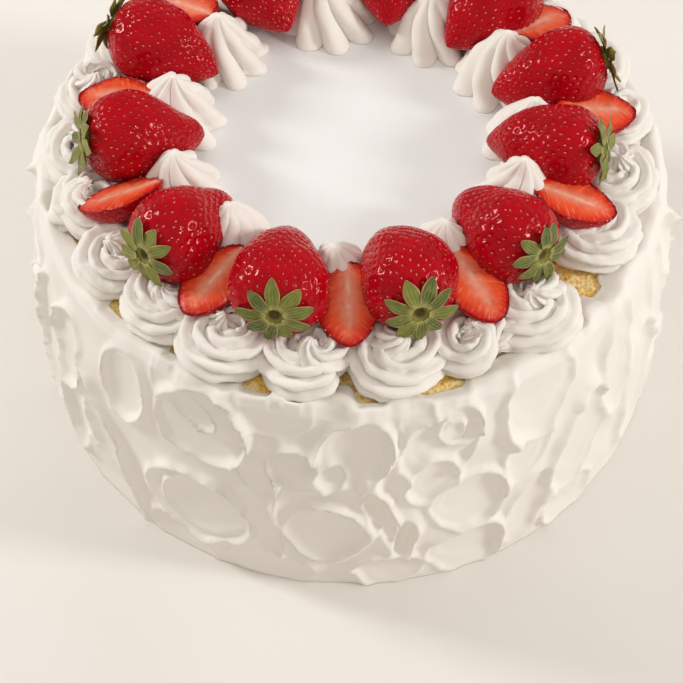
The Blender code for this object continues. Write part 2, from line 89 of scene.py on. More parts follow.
def turn_between(first: float, second: Array) -> Array:
    """Give the signed angle in degrees from one azimuth to others, within half a turn."""
    return (np.asarray(second) - first + 180) % 360 - 180


def place_at(
    azimuth: float,
    radius: float,
    height: float,
    yaw: float = 0.0,
    pitch: float = 0.0,
    roll: float = 0.0,
) -> Matrix:
    """Place a local frame whose +X points away from the cake's axis.

    Args:
        azimuth: where the frame stands, in degrees.
        radius: its distance from the axis.
        height: its height above the floor.
        yaw: turn about the upright, in degrees.
        pitch: how far +X is lifted, in degrees.
        roll: turn about +X, in degrees.

    Returns:
        The frame's matrix, in millimetres.
    """
    angle = math.radians(azimuth)
    middle = Vector((radius * math.cos(angle), radius * math.sin(angle), height))
    turn = Matrix.Rotation(angle + math.radians(yaw), 4, "Z")
    lift = Matrix.Rotation(math.radians(-pitch), 4, "Y")
    tip = Matrix.Rotation(math.radians(roll), 4, "X")
    return Matrix.Translation(middle) @ turn @ lift @ tip


@dataclass(frozen=True)
class Unevenness:
    """Smooth seeded unevenness: a sum of plane waves in many directions."""

    seed: int
    wavelength: float
    waves: int = 16

    def at(self, points: Array) -> Array:
        """Read the unevenness.

        Args:
            points: places in millimetres, the last axis being x, y, z.

        Returns:
            Values of about -1 to 1.
        """
        draw = np.random.default_rng(self.seed)
        directions = draw.normal(size=(self.waves, 3))
        directions /= np.linalg.norm(directions, axis=1)[:, None]
        lengths = self.wavelength * draw.uniform(0.7, 1.6, self.waves)
        phases = draw.uniform(0, 2 * math.pi, self.waves)
        angles = points @ (directions * (2 * math.pi / lengths)[:, None]).T + phases
        return np.sin(angles).sum(axis=-1) / math.sqrt(self.waves)


def heaped(seeds: tuple[int, ...], heaps: tuple[tuple[float, float], ...], points: Array) -> Array:
    """Add up unevenness of several wavelengths.

    Args:
        seeds: a seed for each wavelength.
        heaps: each wavelength with its height.
        points: places in millimetres.

    Returns:
        The height at each place.
    """
    return sum(size * Unevenness(seed, wave).at(points) for seed, (wave, size) in zip(seeds, heaps))


@dataclass
class Surface:
    """A mesh while it is drawn: points, triangles, a finish number per triangle and a mark per point."""

    points: Array
    triangles: Array
    slots: Array
    marks: Array

    def volume(self) -> float:
        """Give the signed volume, which is negative when the triangles look inwards."""
        first, second, third = (self.points[self.triangles[:, corner]] for corner in range(3))
        return float((first * np.cross(second, third)).sum()) / 6

    def outwards(self) -> "Surface":
        """Give the surface with its triangles looking outwards.

        Returns:
            The surface itself, or one with its triangles turned.
        """
        if self.volume() >= 0:
            return self
        return Surface(self.points, self.triangles[:, ::-1], self.slots, self.marks)

    def moved(self, matrix: Matrix) -> "Surface":
        """Give the surface in another place.

        Args:
            matrix: the place, in millimetres.

        Returns:
            The moved surface.
        """
        turn = np.array(matrix.to_3x3())
        shift = np.array(matrix.translation)
        return Surface(self.points @ turn.T + shift, self.triangles, self.slots, self.marks)


def joined(surfaces: list[Surface]) -> Surface:
    """Put surfaces into one mesh.

    Args:
        surfaces: the surfaces to join.

    Returns:
        One surface that holds them all.
    """
    starts = np.cumsum([0] + [len(surface.points) for surface in surfaces])
    return Surface(
        np.concatenate([surface.points for surface in surfaces]),
        np.concatenate([surface.triangles + start for surface, start in zip(surfaces, starts)]),
        np.concatenate([surface.slots for surface in surfaces]),
        np.concatenate([surface.marks for surface in surfaces]),
    )


def loft(rings: Array, marks: Array | None = None, slot: int = 0, ring_of_rings: bool = False) -> Surface:
    """Skin rings of points, closed round each ring.

    Args:
        rings: points by ring and by place on the ring.
        marks: a mark for each point, or none.
        slot: finish number of the triangles.
        ring_of_rings: whether the last ring joins the first; otherwise a fan closes each end.

    Returns:
        The closed surface with its triangles outwards.
    """
    rows, columns, _ = rings.shape
    index = np.arange(rows * columns).reshape(rows, columns)
    beside = np.roll(index, -1, axis=1)
    count = rows if ring_of_rings else rows - 1
    above, above_beside = np.roll(index, -1, axis=0)[:count], np.roll(beside, -1, axis=0)[:count]
    lower, lower_beside = index[:count], beside[:count]
    parts = [
        np.stack([lower, lower_beside, above_beside], axis=-1).reshape(-1, 3),
        np.stack([lower, above_beside, above], axis=-1).reshape(-1, 3),
    ]
    points = rings.reshape(-1, 3)
    values = np.zeros((len(points), 3)) if marks is None else marks.reshape(-1, 3)
    if not ring_of_rings:
        hubs = np.stack([rings[0].mean(axis=0), rings[-1].mean(axis=0)])
        hub_marks = np.stack([values[index[0]].mean(axis=0), values[index[-1]].mean(axis=0)])
        hub = len(points)
        parts.append(np.stack([beside[0], index[0], np.full(columns, hub)], axis=-1))
        parts.append(np.stack([index[-1], beside[-1], np.full(columns, hub + 1)], axis=-1))
        points = np.vstack([points, hubs])
        values = np.vstack([values, hub_marks])
    triangles = np.concatenate(parts)
    return Surface(points, triangles, np.full(len(triangles), slot), values).outwards()


def grid_normals(rings: Array) -> Array:
    """Give the outward normals of a grid of points that closes round its rings.

    Args:
        rings: points by ring and by place on the ring.

    Returns:
        A unit normal for each point.
    """
    along = np.gradient(rings, axis=0)
    around = np.roll(rings, -1, axis=1) - np.roll(rings, 1, axis=1)
    normals = np.cross(along, around)
    lengths = np.linalg.norm(normals, axis=-1, keepdims=True)
    normals = normals / np.maximum(lengths, 1e-9)
    outwards = rings - rings.mean(axis=(0, 1))
    if float((normals * outwards).sum()) < 0:
        normals = -normals
    return normals


# Finishes


def linear(colour: str) -> tuple[float, float, float, float]:
    """Turn an sRGB colour into linear light.

    Args:
        colour: the colour as #RRGGBB.

    Returns:
        Red, green, blue and an alpha of 1.
    """
    parts = [int(colour[start : start + 2], 16) / 255 for start in (1, 3, 5)]
    light = [part / 12.92 if part <= 0.04045 else ((part + 0.055) / 1.055) ** 2.4 for part in parts]
    return (light[0], light[1], light[2], 1.0)


def add_node(
    tree: bpy.types.NodeTree,
    kind: str,
    values: dict[str | int, Any] | None = None,
    links: dict[str | int, bpy.types.NodeSocket] | None = None,
    **settings: Any,
) -> bpy.types.Node:
    """Add a shader node with its settings, socket values and links.

    Args:
        tree: the node tree that takes it.
        kind: the node's type.
        values: value of each input, by its name or number.
        links: socket that feeds each input, by its name or number.
        settings: the node's own properties.

    Returns:
        The new node.
    """
    node = tree.nodes.new(kind)
    for name, setting in settings.items():
        setattr(node, name, setting)
    for key, value in (values or {}).items():
        node.inputs[key].default_value = value
    for key, source in (links or {}).items():
        tree.links.new(source, node.inputs[key])
    return node


# Input and output numbers of a colour mix
MIX_FACTOR, MIX_FIRST, MIX_SECOND, MIX_RESULT = 0, 6, 7, 2


@dataclass(frozen=True)
class Finish:
    """One finish: a named material whose shader tree is drawn once."""

    name: str

    def material(self) -> bpy.types.Material:
        """Make the material, or give it again.

        Returns:
            The material.
        """
        made = bpy.data.materials.get(self.name)
        if made is not None:
            return made
        made = bpy.data.materials.new(self.name)
        made.use_nodes = True
        tree = made.node_tree
        tree.nodes.clear()
        shader = self.draw(tree)
        add_node(tree, "ShaderNodeOutputMaterial", links={"Surface": shader.outputs["BSDF"]})
        return made

    def draw(self, tree: bpy.types.NodeTree) -> bpy.types.Node:
        """Draw the shader tree, as each finish does in its own way.

        Args:
            tree: the node tree that takes it.

        Returns:
            Its Principled shader.
        """
        raise NotImplementedError

    def grain(self, tree: bpy.types.NodeTree, size_mm: float, detail: float = 2.0) -> bpy.types.NodeSocket:
        """Add a noise of a real size.

        Args:
            tree: the node tree.
            size_mm: size of its lumps in millimetres.
            detail: octaves of finer lumps.

        Returns:
            The noise's factor.
        """
        place = add_node(tree, "ShaderNodeTexCoord")
        noise = add_node(
            tree,
            "ShaderNodeTexNoise",
            values={"Scale": 1 / (size_mm * MM), "Detail": detail, "Roughness": 0.55},
            links={"Vector": place.outputs["Object"]},
        )
        return noise.outputs["Fac"]

    def ramp(
        self, tree: bpy.types.NodeTree, value: bpy.types.NodeSocket, low: float, high: float
    ) -> bpy.types.NodeSocket:
        """Map a value to a smooth share.

        Args:
            tree: the node tree.
            value: what is read.
            low: value that gives 0.
            high: value that gives 1.

        Returns:
            The share.
        """
        node = add_node(
            tree,
            "ShaderNodeMapRange",
            values={"From Min": low, "From Max": high},
            links={"Value": value},
            interpolation_type="SMOOTHSTEP",
        )
        return node.outputs["Result"]

    def blend(
        self,
        tree: bpy.types.NodeTree,
        share: bpy.types.NodeSocket,
        first: str | bpy.types.NodeSocket,
        second: str | bpy.types.NodeSocket,
    ) -> bpy.types.NodeSocket:
        """Mix two colours.

        Args:
            tree: the node tree.
            share: how much of the second shows.
            first: colour in hex, or a socket.
            second: colour in hex, or a socket.

        Returns:
            The mixed colour.
        """
        mix = add_node(tree, "ShaderNodeMix", links={MIX_FACTOR: share}, data_type="RGBA")
        for number, colour in ((MIX_FIRST, first), (MIX_SECOND, second)):
            if isinstance(colour, str):
                mix.inputs[number].default_value = linear(colour)
            else:
                tree.links.new(colour, mix.inputs[number])
        return mix.outputs[MIX_RESULT]

    def times(
        self, tree: bpy.types.NodeTree, first: bpy.types.NodeSocket, second: bpy.types.NodeSocket | float
    ) -> bpy.types.NodeSocket:
        """Multiply a value by another value or number.

        Args:
            tree: the node tree.
            first: the value.
            second: what it is multiplied by.

        Returns:
            The product.
        """
        node = add_node(tree, "ShaderNodeMath", links={0: first}, operation="MULTIPLY")
        if isinstance(second, (int, float)):
            node.inputs[1].default_value = second
        else:
            tree.links.new(second, node.inputs[1])
        return node.outputs["Value"]

    def marks(self, tree: bpy.types.NodeTree) -> list[bpy.types.NodeSocket]:
        """Read the three values that each point of the mesh is marked with.

        Args:
            tree: the node tree.

        Returns:
            The three values.
        """
        read = add_node(tree, "ShaderNodeAttribute", attribute_name="mark")
        split = add_node(tree, "ShaderNodeSeparateXYZ", links={"Vector": read.outputs["Vector"]})
        return [split.outputs["X"], split.outputs["Y"], split.outputs["Z"]]

    def bumped(
        self, tree: bpy.types.NodeTree, height: bpy.types.NodeSocket, depth_mm: float
    ) -> bpy.types.NodeSocket:
        """Turn a height into a bumped normal.

        Args:
            tree: the node tree.
            height: height between 0 and 1.
            depth_mm: real height of 1, in millimetres.

        Returns:
            The normal.
        """
        bump = add_node(
            tree,
            "ShaderNodeBump",
            values={"Strength": 1.0, "Distance": depth_mm * MM},
            links={"Height": height},
        )
        return bump.outputs["Normal"]


@dataclass(frozen=True)
class WhippedCream(Finish):
    """Dairy cream whipped to soft peaks: fat foam that light enters a few millimetres deep.

    The eye sees a warm off-white with a satin sheen and a very fine grain of burst bubbles. Crests are
    painted nearly white and hollows beige: painted light on the crests, painted shade in the hollows. Mark:
    how much a place stands out, from 0 where it lies low (painted shade) to 1 on a crest (painted light).
    """

    # The crest colour holds painted light, and the colour below it holds painted shade for the hollows
    crest: str = "#FFFCF8"
    hollow_shade: str = "#DDC29E"
    roughness: float = 0.4
    bleed_mm: float = 2.5
    bleed: float = 0.3
    cloud_mm: float = 24.0
    # Burst bubbles are about 0.2 mm wide, too fine to show, so they are drawn 0.9 mm wide
    bubble_mm: float = 0.9
    bubble_depth_mm: float = 0.10

    def draw(self, tree: bpy.types.NodeTree) -> bpy.types.Node:
        """Draw the cream's shader tree.

        Args:
            tree: the node tree that takes it.

        Returns:
            Its Principled shader.
        """
        stand, _, _ = self.marks(tree)
        cloud = add_node(
            tree,
            "ShaderNodeMath",
            values={1: 0.25},
            links={0: self.grain(tree, self.cloud_mm, 3.0), 2: stand},
            operation="MULTIPLY_ADD",
        )
        share = self.ramp(tree, cloud.outputs["Value"], 0.12, 1.1)
        # Painted light on crests and painted shade in hollows, chosen by the mark
        colour = self.blend(tree, share, self.hollow_shade, self.crest)
        normal = self.bumped(tree, self.grain(tree, self.bubble_mm, 3.0), self.bubble_depth_mm)
        return add_node(
            tree,
            "ShaderNodeBsdfPrincipled",
            values={
                "Roughness": self.roughness,
                "IOR": 1.45,
                "Subsurface Weight": self.bleed,
                "Subsurface Radius": (1.0, 0.78, 0.55),
                "Subsurface Scale": self.bleed_mm * MM,
            },
            links={"Base Color": colour, "Normal": normal},
        )


@dataclass(frozen=True)
class SpongeCrumb(Finish):
    """Baked sponge, its top crust rubbed open: golden crumb with pores and a browner skin.

    The eye sees a dry matt golden yellow with paler torn crumbs, and pinholes painted dark as painted
    shade.
    """

    colour: str = "#F8CC66"
    pale: str = "#FFE8A8"
    # Brown of browned crumb, which also paints the shade in the pores
    brown: str = "#D89A40"
    patch_mm: float = 7.0
    # Pores of 1.3 mm are true to a fine sponge, and specks are lumps of browned crumb
    pore_mm: float = 1.3
    pore_depth_mm: float = 0.5
    speck_mm: float = 2.34

    def draw(self, tree: bpy.types.NodeTree) -> bpy.types.Node:
        """Draw the crumb's shader tree.

        Args:
            tree: the node tree that takes it.

        Returns:
            Its Principled shader.
        """
        place = add_node(tree, "ShaderNodeTexCoord")
        cells = add_node(
            tree,
            "ShaderNodeTexVoronoi",
            values={"Scale": 1 / (self.pore_mm * MM), "Randomness": 1.0},
            links={"Vector": place.outputs["Object"]},
        )
        patch = self.ramp(tree, self.grain(tree, self.patch_mm, 3.0), 0.4, 0.65)
        colour = self.blend(tree, patch, self.pale, self.colour)
        # Painted shade: each pore is darker towards its middle
        pore_shade = self.ramp(tree, cells.outputs["Distance"], 0.55, 0.1)
        speck = self.ramp(tree, self.grain(tree, self.speck_mm, 2.0), 0.5, 0.68)
        colour = self.blend(tree, self.times(tree, pore_shade, 0.4), colour, self.brown)
        colour = self.blend(tree, self.times(tree, speck, 0.6), colour, self.brown)
        normal = self.bumped(tree, cells.outputs["Distance"], self.pore_depth_mm)
        return add_node(
            tree,
            "ShaderNodeBsdfPrincipled",
            values={
                "Roughness": 0.85,
                "Specular IOR Level": 0.25,
                "Subsurface Weight": 0.15,
                "Subsurface Radius": (1.0, 0.6, 0.25),
                "Subsurface Scale": 1.5 * MM,
            },
            links={"Base Color": colour, "Normal": normal},
        )


@dataclass(frozen=True)
class StrawberrySkin(Finish):
    """Ripe strawberry skin: thin, wet-looking, stretched between its sunken seeds.

    The eye sees a deep red that is paler by the leaves, with small hard highlights along the net of
    ridges; the dents are painted darker as painted shade. Marks: share from leafy end to tip, depth of the
    dent.
    """

    ridge: str = "#B20416"
    # Colour of the painted shade in the dents
    dent: str = "#8C0210"
    hull: str = "#D2452C"
    dark: str = "#980212"
    gleam: str = "#FFC6C0"
    roughness: float = 0.13
    cloud_mm: float = 9.0
    # Skin cells are about 0.05 mm wide, too fine to show, so their grain is drawn 0.7 mm wide
    cell_mm: float = 0.7
    cell_depth_mm: float = 0.04

    def draw(self, tree: bpy.types.NodeTree) -> bpy.types.Node:
        """Draw the skin's shader tree.

        Args:
            tree: the node tree that takes it.

        Returns:
            Its Principled shader.
        """
        share, dent, _ = self.marks(tree)
        cloud = self.ramp(tree, self.grain(tree, self.cloud_mm), 0.35, 0.7)
        red = self.blend(tree, self.times(tree, cloud, 0.6), self.ridge, self.dark)
        # Painted shade: the skin is darker in its dents
        red = self.blend(tree, self.times(tree, dent, 0.3), red, self.dent)
        blush = self.ramp(tree, share, 0.05, 0.0)
        colour = self.blend(tree, self.times(tree, blush, 0.5), red, self.hull)
        normal = self.bumped(tree, self.grain(tree, self.cell_mm, 2.0), self.cell_depth_mm)
        return add_node(
            tree,
            "ShaderNodeBsdfPrincipled",
            values={
                "Roughness": self.roughness,
                "IOR": 1.4,
                "Specular IOR Level": 0.38,
                "Specular Tint": linear(self.gleam),
                "Subsurface Weight": 0.1,
                "Subsurface Radius": (1.0, 0.2, 0.12),
                "Subsurface Scale": 1.5 * MM,
            },
            links={"Base Color": colour, "Normal": normal},
        )


@dataclass(frozen=True)
class StrawberrySeed(Finish):
    """A strawberry's seeds: tiny dry husks, straw yellow where the sun reached them and red elsewhere."""

    straw: str = "#E68A78"
    red: str = "#B83030"
    patch_mm: float = 5.0

    def draw(self, tree: bpy.types.NodeTree) -> bpy.types.Node:
        """Draw the seeds' shader tree.

        Args:
            tree: the node tree that takes it.

        Returns:
            Its Principled shader.
        """
        tone = self.ramp(tree, self.grain(tree, self.patch_mm), 0.42, 0.62)
        colour = self.blend(tree, tone, self.red, self.straw)
        return add_node(
            tree,
            "ShaderNodeBsdfPrincipled",
            values={"Roughness": 0.4, "IOR": 1.45},
            links={"Base Color": colour},
        )


@dataclass(frozen=True)
class StrawberryFlesh(Finish):
    """Freshly cut strawberry: wet orange-red flesh, a paler core, pale fibres that fan out to the skin.

    Marks: share from leafy end to tip, share across, distance to the skin in millimetres.
    """

    flesh: str = "#E8562A"
    outer: str = "#CE2210"
    core: str = "#E8A084"
    streak: str = "#F6D0B6"
    rim: str = "#8A050C"
    mottle_mm: float = 3.0
    fibre_depth_mm: float = 0.25
    # Fibres are counted along the fruit's length, which makes each about 1 mm wide
    fibres_per_length: float = 26.0
    # How far a fibre lags towards the leafy end on its way to the skin, as a share of the length
    fibre_slant: float = 0.16

    def draw(self, tree: bpy.types.NodeTree) -> bpy.types.Node:
        """Draw the flesh's shader tree.

        Args:
            tree: the node tree that takes it.

        Returns:
            Its Principled shader.
        """
        share, across, edge = self.marks(tree)
        side = add_node(tree, "ShaderNodeMath", links={0: across}, operation="ABSOLUTE").outputs["Value"]
        slanted = add_node(
            tree,
            "ShaderNodeMath",
            values={1: -self.fibre_slant},
            links={0: side, 2: share},
            operation="MULTIPLY_ADD",
        )
        spread = add_node(
            tree,
            "ShaderNodeCombineXYZ",
            links={"X": slanted.outputs["Value"], "Y": self.times(tree, across, 0.06)},
        )
        fibres = add_node(
            tree,
            "ShaderNodeTexNoise",
            values={"Scale": self.fibres_per_length, "Detail": 3.0, "Roughness": 0.6},
            links={"Vector": spread.outputs["Vector"]},
        )
        fibre = self.ramp(tree, fibres.outputs["Fac"], 0.5, 0.72)
        middle = self.times(tree, self.ramp(tree, side, 0.5, 0.0), self.ramp(tree, share, 0.98, 0.6))
        streak = self.times(tree, self.ramp(tree, side, 0.16, 0.0), self.ramp(tree, share, 0.9, 0.65))
        mottle = self.ramp(tree, self.grain(tree, self.mottle_mm, 3.0), 0.4, 0.68)
        colour = self.blend(tree, self.ramp(tree, edge, 4.2, 0.9), self.flesh, self.outer)
        colour = self.blend(tree, self.times(tree, middle, 0.8), colour, self.core)
        colour = self.blend(tree, self.times(tree, fibre, 0.5), colour, self.core)
        colour = self.blend(tree, self.times(tree, streak, mottle), colour, self.streak)
        colour = self.blend(tree, self.times(tree, mottle, 0.25), colour, self.outer)
        colour = self.blend(tree, self.ramp(tree, edge, 1.2, 0.25), colour, self.rim)
        normal = self.bumped(tree, fibres.outputs["Fac"], self.fibre_depth_mm)
        return add_node(
            tree,
            "ShaderNodeBsdfPrincipled",
            values={
                "Roughness": 0.34,
                "IOR": 1.36,
                "Specular IOR Level": 0.4,
                "Subsurface Weight": 0.2,
                "Subsurface Radius": (1.0, 0.35, 0.15),
                "Subsurface Scale": 2.0 * MM,
            },
            links={"Base Color": colour, "Normal": normal},
        )


@dataclass(frozen=True)
class SepalGreen(Finish):
    """Strawberry sepals: thin hairy leaves, olive green, paler along the veins and tan at the edges.

    Marks: share from foot to tip, share across, tone of the leaf.
    """

    green: str = "#7C8232"
    deep: str = "#4C5A22"
    pale: str = "#A8A662"
    tan: str = "#C89C74"
    mottle_mm: float = 2.0
    # Two to three veins run along each half of a sepal
    vein_turns: float = 14.0
    vein_depth_mm: float = 0.12

    def draw(self, tree: bpy.types.NodeTree) -> bpy.types.Node:
        """Draw the sepals' shader tree.

        Args:
            tree: the node tree that takes it.

        Returns:
            Its Principled shader.
        """
        share, across, tone = self.marks(tree)
        side = add_node(tree, "ShaderNodeMath", links={0: across}, operation="ABSOLUTE").outputs["Value"]
        waves = self.times(tree, side, self.vein_turns)
        veins = add_node(tree, "ShaderNodeMath", links={0: waves}, operation="COSINE")
        vein = self.ramp(tree, veins.outputs["Value"], 0.2, 1.0)
        colour = self.blend(tree, tone, self.green, self.deep)
        colour = self.blend(tree, self.times(tree, vein, 0.4), colour, self.pale)
        colour = self.blend(tree, self.ramp(tree, share, 0.25, 0.0), colour, self.pale)
        mottle = self.ramp(tree, self.grain(tree, self.mottle_mm), 0.45, 0.7)
        colour = self.blend(tree, self.times(tree, mottle, 0.25), colour, self.pale)
        dry = self.times(tree, self.ramp(tree, side, 0.72, 0.98), 0.7)
        colour = self.blend(tree, dry, colour, self.tan)
        normal = self.bumped(tree, vein, self.vein_depth_mm)
        return add_node(
            tree,
            "ShaderNodeBsdfPrincipled",
            values={
                "Roughness": 0.55,
                "IOR": 1.4,
                "Subsurface Weight": 0.2,
                "Subsurface Radius": (0.4, 1.0, 0.2),
                "Subsurface Scale": 0.6 * MM,
            },
            links={"Base Color": colour, "Normal": normal},
        )


@dataclass(frozen=True)
class StemScar(Finish):
    """Where the stalk broke off: a brown pit in a yellow-green ring, rough and dry.

    Marks: share from the middle to the edge.
    """

    pit: str = "#4C3A18"
    ring: str = "#8C8434"
    edge: str = "#7C8A38"
    fleck: str = "#6E6A2C"
    fleck_mm: float = 0.9
    crack_mm: float = 0.7
    crack_depth_mm: float = 0.3

    def draw(self, tree: bpy.types.NodeTree) -> bpy.types.Node:
        """Draw the scar's shader tree.

        Args:
            tree: the node tree that takes it.

        Returns:
            Its Principled shader.
        """
        share, _, _ = self.marks(tree)
        mottle = self.times(tree, self.ramp(tree, self.grain(tree, self.fleck_mm, 3.0), 0.4, 0.7), 0.5)
        colour = self.blend(tree, self.ramp(tree, share, 0.3, 0.62), self.pit, self.ring)
        colour = self.blend(tree, self.ramp(tree, share, 0.62, 0.95), colour, self.edge)
        colour = self.blend(tree, mottle, colour, self.fleck)
        normal = self.bumped(tree, self.grain(tree, self.crack_mm, 3.0), self.crack_depth_mm)
        return add_node(
            tree,
            "ShaderNodeBsdfPrincipled",
            values={"Roughness": 0.6, "IOR": 1.4},
            links={"Base Color": colour, "Normal": normal},
        )


@dataclass(frozen=True)
class PaleFloor(Finish):
    """A matt painted floor, plain and pale, with a barely visible cloudiness."""

    colour: str = "#E6E2DD"
    cloud: str = "#E2DED8"
    cloud_mm: float = 120.0

    def draw(self, tree: bpy.types.NodeTree) -> bpy.types.Node:
        """Draw the floor's shader tree.

        Args:
            tree: the node tree that takes it.

        Returns:
            Its Principled shader.
        """
        share = self.ramp(tree, self.grain(tree, self.cloud_mm), 0.3, 0.7)
        return add_node(
            tree,
            "ShaderNodeBsdfPrincipled",
            values={"Roughness": 0.7, "Specular IOR Level": 0.3},
            links={"Base Color": self.blend(tree, share, self.colour, self.cloud)},
        )


CREAM = WhippedCream("whipped_cream")
SMOOTH_CREAM = WhippedCream(
    "smoothed_cream", crest="#EFF0EF", hollow_shade="#EBECEB", roughness=0.5, bubble_depth_mm=0.03, bleed=0.2
)
CRUMB = SpongeCrumb("golden_sponge_crumb")
SKIN = StrawberrySkin("ripe_strawberry_skin")
SEED = StrawberrySeed("strawberry_seed_husk")
FLESH = StrawberryFlesh("cut_strawberry_flesh")
SEPAL = SepalGreen("strawberry_sepal")
SCAR = StemScar("strawberry_stem_scar")
FLOOR = PaleFloor("matt_pale_floor")


class Slot(Enum):
    """The record's material slots that pieces take their finish from."""

    CREAM = "whipped_cream"
    SPONGE = "golden_sponge"
    SKIN = "strawberry_skin"
    FLESH = "strawberry_flesh"


def make_piece(
    name: str, surface: Surface, finishes: list[Finish], node: str
) -> bpy.types.Object:
    """Turn a surface into a piece that stands for a node.

    Args:
        name: the piece's name.
        surface: its mesh in millimetres.
        finishes: its finishes, in the order of the surface's finish numbers.
        node: the node that it replaces.

    Returns:
        The new object.
    """
    mesh = bpy.data.meshes.new(name)
    mesh.from_pydata((surface.points * MM).tolist(), [], surface.triangles.tolist())
    mark = mesh.attributes.new("mark", "FLOAT_VECTOR", "POINT")
    mark.data.foreach_set("vector", surface.marks.astype(np.float32).ravel())
    for finish in finishes:
        mesh.materials.append(finish.material())
    mesh.polygons.foreach_set("material_index", surface.slots.astype(np.int32))
    mesh.shade_smooth()
    mesh.update()
    piece = bpy.data.objects.new(name, mesh)
    bpy.context.scene.collection.objects.link(piece)
    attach(piece, "root")
    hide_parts(node)
    LOG.info("%s: %d triangles for %s", name, len(surface.triangles), node)
    return piece


# Cream round the side


@dataclass(frozen=True)
class Stroke:
    """One stroke of the palette knife in the side cream, in degrees and millimetres.

    The knife pushes up the highest lip at lip_turn: 0 is right, 90 up, 180 left and 270 down.
    """

    azimuth: float
    height: float
    half_width: float
    half_height: float
    tilt: float = 0.0
    lip_turn: float = 20.0
    lip: float = 1.0
    depth: float = 1.0


# The strokes of the side that was photographed, in the order in which the knife made them
FRONT_STROKES = (
    Stroke(203, 50, 12, 34, 0, 180),
    Stroke(211, 62, 10, 18, 0, 200),
    Stroke(213, 28, 9, 16, 10, 200),
    Stroke(222, 34, 8, 30, 20, 330, 1.1),
    Stroke(222, 8, 12, 20, 40, 300, 0.6),
    Stroke(227.8, 73, 10, 16, 0, 285, 1.0),
    Stroke(237, 90, 6, 12, 0, 20, 0.5, 0.5),
    Stroke(257, 88, 13, 9, 25, 90, 0.3, 0.4),
    Stroke(255.5, 60, 9, 14, 30, 90, 0.4, 0.5),
    Stroke(266.0, 52.0, 16, 27, -14, 128, 1.3, 0.5),
    Stroke(243.8, 74.5, 17.2, 16.0, -8, 50, 1.6, 1.1),
    Stroke(242.4, 79.5, 9.5, 6.5, -35, 20, 0.9, 0.4),
    Stroke(239, 7, 15, 11, -10, 60, 0.6, 0.6),
    Stroke(242.3, 30.5, 19.5, 19, -8, 30, 1.4, 1.1),
    Stroke(243.6, 32.0, 15, 16.0, -8, 180, 0.6, 0.6),
    Stroke(254.6, 33, 5.5, 20, 8, 300, 0.5, 0.6),
    Stroke(257, 8, 16, 9, -10, 20, 0.5, 0.6),
    Stroke(261.2, 66.5, 8.5, 11.5, 20, 100, 1.1, 0.9),
    Stroke(270.5, 75.0, 13.2, 16.5, -12, 60, 1.5, 1.1),
    Stroke(266.0, 64.5, 5.0, 6.0, -25, 200, 1.0, 0.5),
    Stroke(265.8, 33.6, 12.8, 16.0, 0, 15, 1.4, 1.0),
    Stroke(275.6, 40, 4.8, 22, 12, 10, 1.0, 1.0),
    Stroke(278.6, 27, 4.4, 13, -10, 330, 1.0, 0.9),
    Stroke(276.5, 9.5, 13, 9, 6, 150, 1.2, 0.8),
    Stroke(281.0, 88, 5.5, 11, 0, 0, 0.5, 0.6),
    Stroke(284.8, 74.0, 12.0, 15, -16, 140, 1.3, 0.7),
    Stroke(287.8, 82.0, 6.6, 10, -12, 75, 1.0, 0.9),
    Stroke(286.6, 80.0, 3.4, 5.4, -25, 60, 0.45, 0.35),
    Stroke(283.6, 57.4, 9.0, 10.5, 0, 150, 0.9, 0.8),
    Stroke(290.4, 42.0, 13.0, 14.0, -35, 30, 1.1, 1.0),
    Stroke(290.6, 13.5, 13.0, 15.0, -12, 20, 1.3, 1.0),
    Stroke(301.3, 56, 7.5, 16, -15, 180, 0.6, 0.8),
    Stroke(302.5, 24, 7.0, 20, -20, 0, 0.7, 0.9),
    Stroke(303.2, 79, 12.5, 18, -14, 200, 1.2, 0.9),
    Stroke(312, 11, 13, 13, 25, 200, 0.8, 0.8),
    Stroke(313.0, 42, 12, 24, -18, 150, 1.1, 1.0),
    Stroke(323, 66, 8, 26, -6, 180, 0.9),
    Stroke(331, 40, 10, 30, -8, 190, 0.9),
    Stroke(340, 70, 9, 22, 0, 180, 0.8),
)


@dataclass(frozen=True)
class RimStretch:
    """A stretch of the rim whose lip ends at its own radius.

    Far out it stops short of the rosettes and sponge shows, and far in it reaches under them.
    """

    azimuth: float
    half_width: float
    lip_radius: float


# The first seventeen stretches are those of the side that was photographed
RIM_STRETCHES = (
    RimStretch(192.6, 2.9, 97.5),
    RimStretch(221.7, 2.6, 97.0),
    RimStretch(236.4, 1.5, 96.5),
    RimStretch(245.0, 5.0, 93.0),
    RimStretch(253.3, 3.0, 98.2),
    RimStretch(257.2, 0.9, 93.0),
    RimStretch(260.3, 1.6, 98.4),
    RimStretch(267.0, 3.2, 91.6),
    RimStretch(273.6, 2.7, 98.4),
    RimStretch(278.6, 1.8, 93.0),
    RimStretch(286.4, 4.4, 98.0),
    RimStretch(302.0, 9.0, 92.6),
    RimStretch(315.6, 0.9, 96.8),
    RimStretch(319.4, 2.0, 91.5),
    RimStretch(323.6, 2.0, 95.0),
    RimStretch(330.5, 4.0, 91.5),
    RimStretch(352.3, 1.6, 97.0),
    RimStretch(28.0, 2.2, 97.5),
    RimStretch(62.0, 2.6, 98.0),
    RimStretch(95.0, 2.0, 97.5),
    RimStretch(131.0, 2.8, 98.0),
    RimStretch(160.0, 2.0, 97.5),
)


def spread_out(values: Array, passes: int) -> Array:
    """Smooth a grid that closes round its rows, to compare each place with its surroundings.

    Args:
        values: the grid.
        passes: how often each value is mixed with its neighbours three cells away.

    Returns:
        The smooth grid.
    """
    for _ in range(passes):
        beside = np.roll(values, 3, axis=1) + np.roll(values, -3, axis=1)
        padded = np.pad(values, ((3, 3), (0, 0)), mode="edge")
        values = (beside + padded[6:] + padded[:-6] + 2 * values) / 6
    return values


